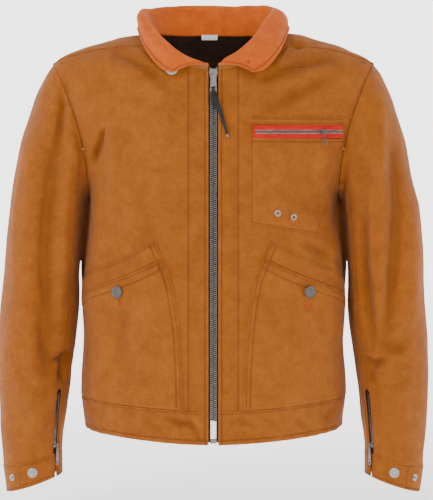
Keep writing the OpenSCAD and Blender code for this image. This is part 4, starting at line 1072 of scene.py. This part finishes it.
for q, sg in SIDES:
    N = sleeve_n(SNAP_S, SNAP_A)
    P = on_sleeve(SNAP_S, SNAP_A, 2.85)
    lathe("snap_button_" + q, [(0, 0), (6.2, 0), (7.2, .25), (7.6, .8), (7.45, 1.35), (6.8, 1.75),
                               (6.1, 1.8), (5.6, 1.5), (5.2, 1.45), (4.4, 1.75), (2.6, 2.15), (0, 2.3)], P,
          N, SNAP, "button_metal", ["snap_cap_" + q], bodyname="cuff_tab_" + q, sg=sg)
    N2 = sleeve_n(SNAP_S, SPARE_A)
    P2, P3 = on_sleeve(SNAP_S, SPARE_A, .7), on_sleeve(SNAP_S, SNAP_A, .55)
    lathe("snap_post_" + q, [(0, 0), (4.6, 0), (5.2, .2), (5.1, .62), (4.5, .7), (4.1, .35), (2.6, .25),
                             (1.9, .5), (1.7, 1.2), (1.9, 1.9), (1.75, 2.4), (1, 2.6), (0, 2.6)], P2, N2,
          SNAP, "button_metal", ["snap_studs_" + q], sg=sg)
    lathe("snap_socket_" + q, [(0, 0), (2.1, 0), (2.2, .4), (2.0, 1.2), (2.2, 1.9), (1.6, 2.2), (0, 2.2)],
          P3, N, SNAP, "button_metal", ["snap_studs_" + q], sg=sg)

# ------------------------------------------------------------ zips
ca, sa = math.cos(TILT), math.sin(TILT)
ZLEN = float(np.linalg.norm(ZT - ZF))


def zipper(p):
    p = np.asarray(p, float)
    return ZT + stack(p[..., 0], p[..., 1] * ca - p[..., 2] * sa, p[..., 1] * sa + p[..., 2] * ca)


def teeth(name, place, length, pitch, root, tip, thick, phase, sgn, m, slot, nodes, z0=0.,
          bodyname="jacket"):
    """teeth that clasp a cord along the tape's edge, each one its own casting"""
    g = pitch * .5
    half = [(root + .9, .34), (root - .6, .36), (tip + .9 * (root - tip) * .45, .3),
            (tip + .42 * (root - tip) * .7, .46), (tip + .12, .4), (tip, .12)]
    out = [(x, -g * w) for x, w in half] + [(x, g * w) for x, w in reversed(half)]
    V, F = [], []
    n = len(out)
    cx = sum(x for x, _ in out) / n
    num = int(length / pitch) - 1
    for i in range(num):
        z = z0 + i * pitch + phase + g * .5
        k = len(V)
        for y, c in ((-thick / 2, .8), (-thick / 2 + thick * .16, 1), (thick / 2 - thick * .16, 1),
                     (thick / 2, .8)):
            for x, w in out:
                V.append((sgn * (cx + (x - cx) * (.9 if c < 1 else 1)), y, z + w * c))
        for r in range(3):
            for j in range(n):
                l = (j + 1) % n
                F.append((k + r * n + j, k + r * n + l, k + (r + 1) * n + l, k + (r + 1) * n + j))
        F.append(tuple(k + j for j in reversed(range(n))))
        F.append(tuple(k + 3 * n + j for j in range(n)))
    # the cord the teeth clasp
    k = len(V)
    cord_n = max(2, int(length / 6))
    for i in range(cord_n + 1):
        for j in range(8):
            t = j / 8 * 2 * math.pi
            V.append((sgn * (root + .55 + .45 * math.cos(t)), thick * .3 * math.sin(t),
                      z0 + length * i / cord_n))
    for i in range(cord_n):
        for j in range(8):
            l = (j + 1) % 8
            F.append((k + i * 8 + j, k + i * 8 + l, k + i * 8 + 8 + l, k + i * 8 + 8 + j))
    F.append(tuple(k + j for j in reversed(range(8))))
    F.append(tuple(k + cord_n * 8 + j for j in range(8)))
    o = obj(name, place(np.array(V)), F, m)
    o.data.set_sharp_from_angle(angle=math.radians(40))
    return ride(o, bodyname, slot, *nodes)


for q, sg in SIDES:
    teeth("main_teeth_" + q, lambda p: zipper(p + [0, ZIP_SINK, 0]), ZLEN - 10.5, 3, 4, .3, 2.8,
          0 if sg > 0 else 1.5, sg, TOOTH, "zip_metal", ["zip_teeth_" + q], z0=-ZLEN + 9)

    def tape_fn(u, v):
        return zipper(stack(lerp(4.05, 16.95, u), ZIP_SINK + 0 * u, lerp(-ZLEN + 3, -.5, v)))
    shell("main_tape_" + q, tape_fn, -.35, .35, [TAPE], su=1.8, sv=6, sg=sg, disp=False, pucker=0,
          near=dict(u0=(1.2, 2.4, 3.6)), lift=lambda u, v, D: .14 * np.sin(D["u0"] * 2.6),
          node="zip_tape_" + q, r=.3)
refine("zip_slider", "main_slider_body", .35, ZINC, "main_slider", "zip_metal")
refine("zip_pull", "main_pull_plate", .3, ZINC, "main_pull", "zip_metal", 3)
refine("zip_pin_box", "pin_box", .25, ZINC, "jacket", "zip_metal")
refine("zip_stops", "top_stops", .25, ZINC, "jacket", "zip_metal")

# sleeve zips
s1, s2 = CUFF_S - .006, CUFF_S - 108 / 640
foot = sleeve(s1, SEAM) - sleeve_n(s1, SEAM) * 4.5
top_ = sleeve(s2, SEAM) - sleeve_n(s2, SEAM) * 4.5
sd = unit(top_ - foot)
so = sleeve_n(.86, SEAM)
so = unit(so - sd * (so @ sd))
ss = np.cross(-so, sd)
SL = float(np.linalg.norm(top_ - foot))
for q, sg in SIDES:
    def place(p, sg=sg):
        p = np.asarray(p, float)
        return (foot + p[..., :1] * ss - p[..., 1:2] * so + p[..., 2:] * sd) * [sg, 1, 1]
    teeth("sleeve_teeth_%s_1" % q, place, SL - 6, 2.4, 2.25, .25, 1.8, 0, 1, TOOTH, "zip_metal",
          ["sleeve_zip_teeth_" + q], z0=4)
    teeth("sleeve_teeth_%s_2" % q, place, SL - 6, 2.4, 2.25, .25, 1.8, 1.2, -1, TOOTH, "zip_metal",
          ["sleeve_zip_teeth_" + q], z0=4)
    for k, (x0, x1) in enumerate(((2.3, 5.4), (-5.4, -2.3))):
        def tape_fn(u, v, x0=x0, x1=x1):
            return place(stack(lerp(x0, x1, u), 0 * u, lerp(.5, SL - 1.5, v))) * [sg, 1, 1]
        shell("sleeve_tape_%s_%d" % (q, k + 1), tape_fn, -.3, .3, [TAPE], su=1.3, sv=4, sg=sg, disp=False,
              pucker=0, node="sleeve_zip_tape_" + q, r=.25)
    refine("sleeve_slider_" + q, "cuff_slider_" + q, .28, ZINC, "sleeve_slider_" + q, "zip_metal")
    refine("sleeve_pull_" + q, "cuff_pull_" + q, .25, ZINC, "sleeve_pull_" + q, "zip_metal")


# chest zip
def chest(p):
    """x runs out along the zip in mm, y outwards, z up"""
    p = np.asarray(p, float)
    t = p[..., 0] / CHEST_R
    r = CHEST_R + p[..., 1]
    return stack(43.4 + np.sin(t) * r, 253 - np.cos(t) * r, -148.3 + p[..., 2])


a0, a1 = math.radians(2.6) * CHEST_R, math.radians(24.4) * CHEST_R
for k, sg in (("upper", 1), ("lower", -1)):
    teeth("chest_teeth_" + k, lambda p: chest(stack(p[..., 2], -p[..., 1], p[..., 0])), a1 - a0, 2.2, 2.0,
          .3, 1.6, 0 if sg > 0 else 1.1, sg, TOOTH, "zip_metal", ["chest_zip_teeth"], z0=a0 + .6)
    w0, w1 = (2.1, 9.4) if sg > 0 else (-9.4, -2.1)

    def tape_fn(u, v, w0=w0, w1=w1):
        return chest(stack(lerp(a0, a1, u), 0 * u, lerp(w0, w1, v)))
    shell("chest_tape_" + k, tape_fn, -.35, .35, [RED], su=3, sv=1.2, disp=False, pucker=0,
          lift=lambda u, v, D: .12 * np.sin(D["v0"] * 2.4), node="chest_zip_tape", r=.3)
shell("chest_tape_end", lambda u, v: chest(stack(lerp(a0 - 2, a0 + 3.4, u), .25 + 0 * u,
                                                 lerp(-9.2, 9.2, v))), -.2, .5, [RED], su=1.2, sv=1.2,
      disp=False, pucker=0, lines=dict(u1=(1,)), sew="red", node="chest_zip_tape", r=.5)
refine("chest_slider", "chest_slider_body", .25, GUN, "chest_slider", "zip_metal")
refine("chest_pull_link", "chest_link_bar", .18, GUN, "chest_link", "zip_metal")
refine("chest_pull_ring", "chest_ring_wire", .0001, GUN, "chest_ring", "zip_metal")

# leather tab
SLIDER_FOOT, LUG, PULL = -9 - 15 + 6, 9.5, 27    # down from the zip's top; up from there; the pull's length
piv = np.array([0, -4.2, SLIDER_FOOT + LUG - PULL + 1.5])
LEAN = math.radians(17)                         # the thongs lean to one side


def strand(name, route, widths, thick, lean, rep):
    """a flat thong along a route of (x, y, z) from the pull's bar, cut with rounded edges"""
    n = 70
    t = np.linspace(0, 1, n)
    X = [(i / (len(route) - 1), p) for i, p in enumerate(route)]
    C_ = along(X, t)
    W = along([(i / (len(widths) - 1), w) for i, w in enumerate(widths)], t)
    T = unit(np.gradient(C_, axis=0))
    A = unit(np.cross(T, [0, 1., 0]))
    B_ = np.cross(A, T)
    prof = [(math.cos(j / 16 * 2 * math.pi), math.sin(j / 16 * 2 * math.pi)) for j in range(16)]
    V, F = [], []
    for i in range(n):
        tw = .35 * math.sin(i / n * 5)
        a = A[i] * math.cos(tw) + B_[i] * math.sin(tw)
        b_ = B_[i] * math.cos(tw) - A[i] * math.sin(tw)
        for x, y in prof:
            sx, sy = abs(x) ** .45 * (1 if x > 0 else -1), abs(y) ** .6 * (1 if y > 0 else -1)
            V.append(C_[i] + a * sx * W[i] + b_ * sy * thick / 2)
    for i in range(n - 1):
        for j in range(16):
            l = (j + 1) % 16
            F.append((i * 16 + j, i * 16 + l, i * 16 + 16 + l, i * 16 + 16 + j))
    F.append(tuple(range(15, -1, -1)))
    F.append(tuple((n - 1) * 16 + j for j in range(16)))
    V = np.array(V)
    c, s_ = math.cos(math.radians(lean)), math.sin(math.radians(lean))
    V = stack(V[:, 0] * c - V[:, 2] * s_, V[:, 1], V[:, 0] * s_ + V[:, 2] * c)
    o = obj(name, zipper(V + piv), F, HIDE)
    return ride(o, "leather_tab", "black_leather", *rep)


strand("thong_front", [(0, 1.2, 1.5), (0, .2, 3.6), (0, -1.3, 2.4), (.2, -1.9, -4), (-.5, -1.9, -14),
                       (.4, -1.5, -30), (-.4, -1.5, -48), (.3, -1.4, -60), (0, -1.3, -71)],
       [1.6, 1.6, 1.7, 2.2, 3.1, 3, 2.6, 2.1, 1.6], 1.1, 17, ["pull_tab"])
strand("thong_back", [(0, 1.2, 1.5), (.2, 1.5, -4), (.3, 1.3, -14), (-.6, .9, -26), (.8, .2, -40),
                      (-.2, .2, -54), (.1, .1, -69.5)], [1.6, 2, 2.9, 2.8, 2.4, 2, 1.5], 1.1, 17,
       ["pull_tab"])
strand("thong_short", [(-.4, 1.3, 1.5), (-.6, -.1, 3.3), (-.8, -1, 0), (-1.2, -1.1, -6), (-1.6, -.9, -14),
                       (-1.2, -.7, -22), (-1.4, -.6, -29)], [1.3, 1.4, 1.8, 2.5, 2.9, 2.7, 1.9], 1.0, 6,
       ["pull_tab"])
tipc = zipper(piv + np.array([70.5 * math.sin(LEAN), -.6, -70.5 * math.cos(LEAN)]))
tipd = zipper(piv + np.array([74 * math.sin(LEAN), -.6, -74 * math.cos(LEAN)])) - tipc
lathe("thong_crimp", [(0, -.6), (1.5, -.5), (1.9, 0), (1.95, 2.2), (1.6, 3), (.9, 3.3), (0, 3.3)],
      tipc - unit(tipd) * 2, tipd, SNAP, "button_metal", [], bodyname="leather_tab", n=24)

# red thread: bartacks at the pockets, buttonhole in the collar
for q, sg in SIDES:
    for (xa, za), (xb, zb) in (((138, -393), (129.5, -405)), ((131, -394.5), (136, -403))):
        for i in range(26):
            t = i / 25
            P, N = front_pt(lerp(xa, xb, t), lerp(za, zb, t), 4.65)
            w = unit(np.cross(N, [xb - xa, 0, zb - za])) * .85
            d = np.array([xb - xa, 0, zb - za]) / 25 * .5
            pts = np.array([P - w - d, P + w + d]) * [sg, 1, 1]
            stitch("red", pts, np.array([N * [sg, 1, 1]] * 2), pitch=1.7, fill=1, r=.3)


def leaf_pt(u, v, lift):
    """a point on the collar's leaf, and the normal there"""
    e = .004
    du = collar(u + e, v) - collar(u - e, v)
    dv = collar(u, v + e) - collar(u, v - e)
    n = unit(np.cross(du, dv))
    return collar(u, v) + n * lift, n


# the buttonhole in the left leaf: a slit bound in red
gu, gv = np.meshgrid(np.linspace(.55, .98, 120), np.linspace(.5, .97, 120))
gx, gz = seen(*np.moveaxis(collar(gu, gv), -1, 0))
ends = []
for x, z in ((46.65, -35.25), (55.35, -54)):
    k = np.argmin((gx - x) ** 2 + (gz - z) ** 2)
    ends.append((gu.ravel()[k], gv.ravel()[k]))
for i in range(46):
    t = i / 45
    (ua, va), (ub, vb) = ends
    P, N = leaf_pt(lerp(ua, ub, t), lerp(va, vb, t), 3.3)
    d = unit(leaf_pt(ub, vb, 0)[0] - leaf_pt(ua, va, 0)[0])
    w = np.cross(N, d)
    for side_ in (-1, 1):
        stitch("red", np.array([P + w * side_ * .2, P + w * side_ * 1.6]), np.array([N] * 2), pitch=1.39,
               fill=1, r=.32)

# ------------------------------------------------------------ the threads
MATS = dict(canvas=(THREAD, "canvas", "jacket"), dark=(INSIDE_SHADE, "lining_cloth", "jacket"),
            collar=(OTHREAD, "collar_cloth", "jacket"), label=(LABEL, "label_cloth", "jacket"),
            red=(REDTHREAD, "red_cloth", "jacket"), tab_left=(THREAD, "canvas", "cuff_tab_left"),
            tab_right=(THREAD, "canvas", "cuff_tab_right"))
for key, (V, F) in STITCH.items():
    V = np.concatenate([np.atleast_2d(x) for x in V])
    m, slot_, body_ = MATS[key]
    o = obj("stitches_" + key, V, F, m)
    if not key.startswith("tab_"):
        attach(o, body_)
    if key == "red":
        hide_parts("bartacks")
    if key.startswith("tab_"):
        TABS[key] = o
for q, sg in SIDES:
    f = lambda p: tuple(float(x) * .001 for x in np.array(p) * [sg, 1, 1])
    for o in (TABS[q], TABS["tab_" + q]):
        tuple(f(hinge))
        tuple(f(turn))
        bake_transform(o)
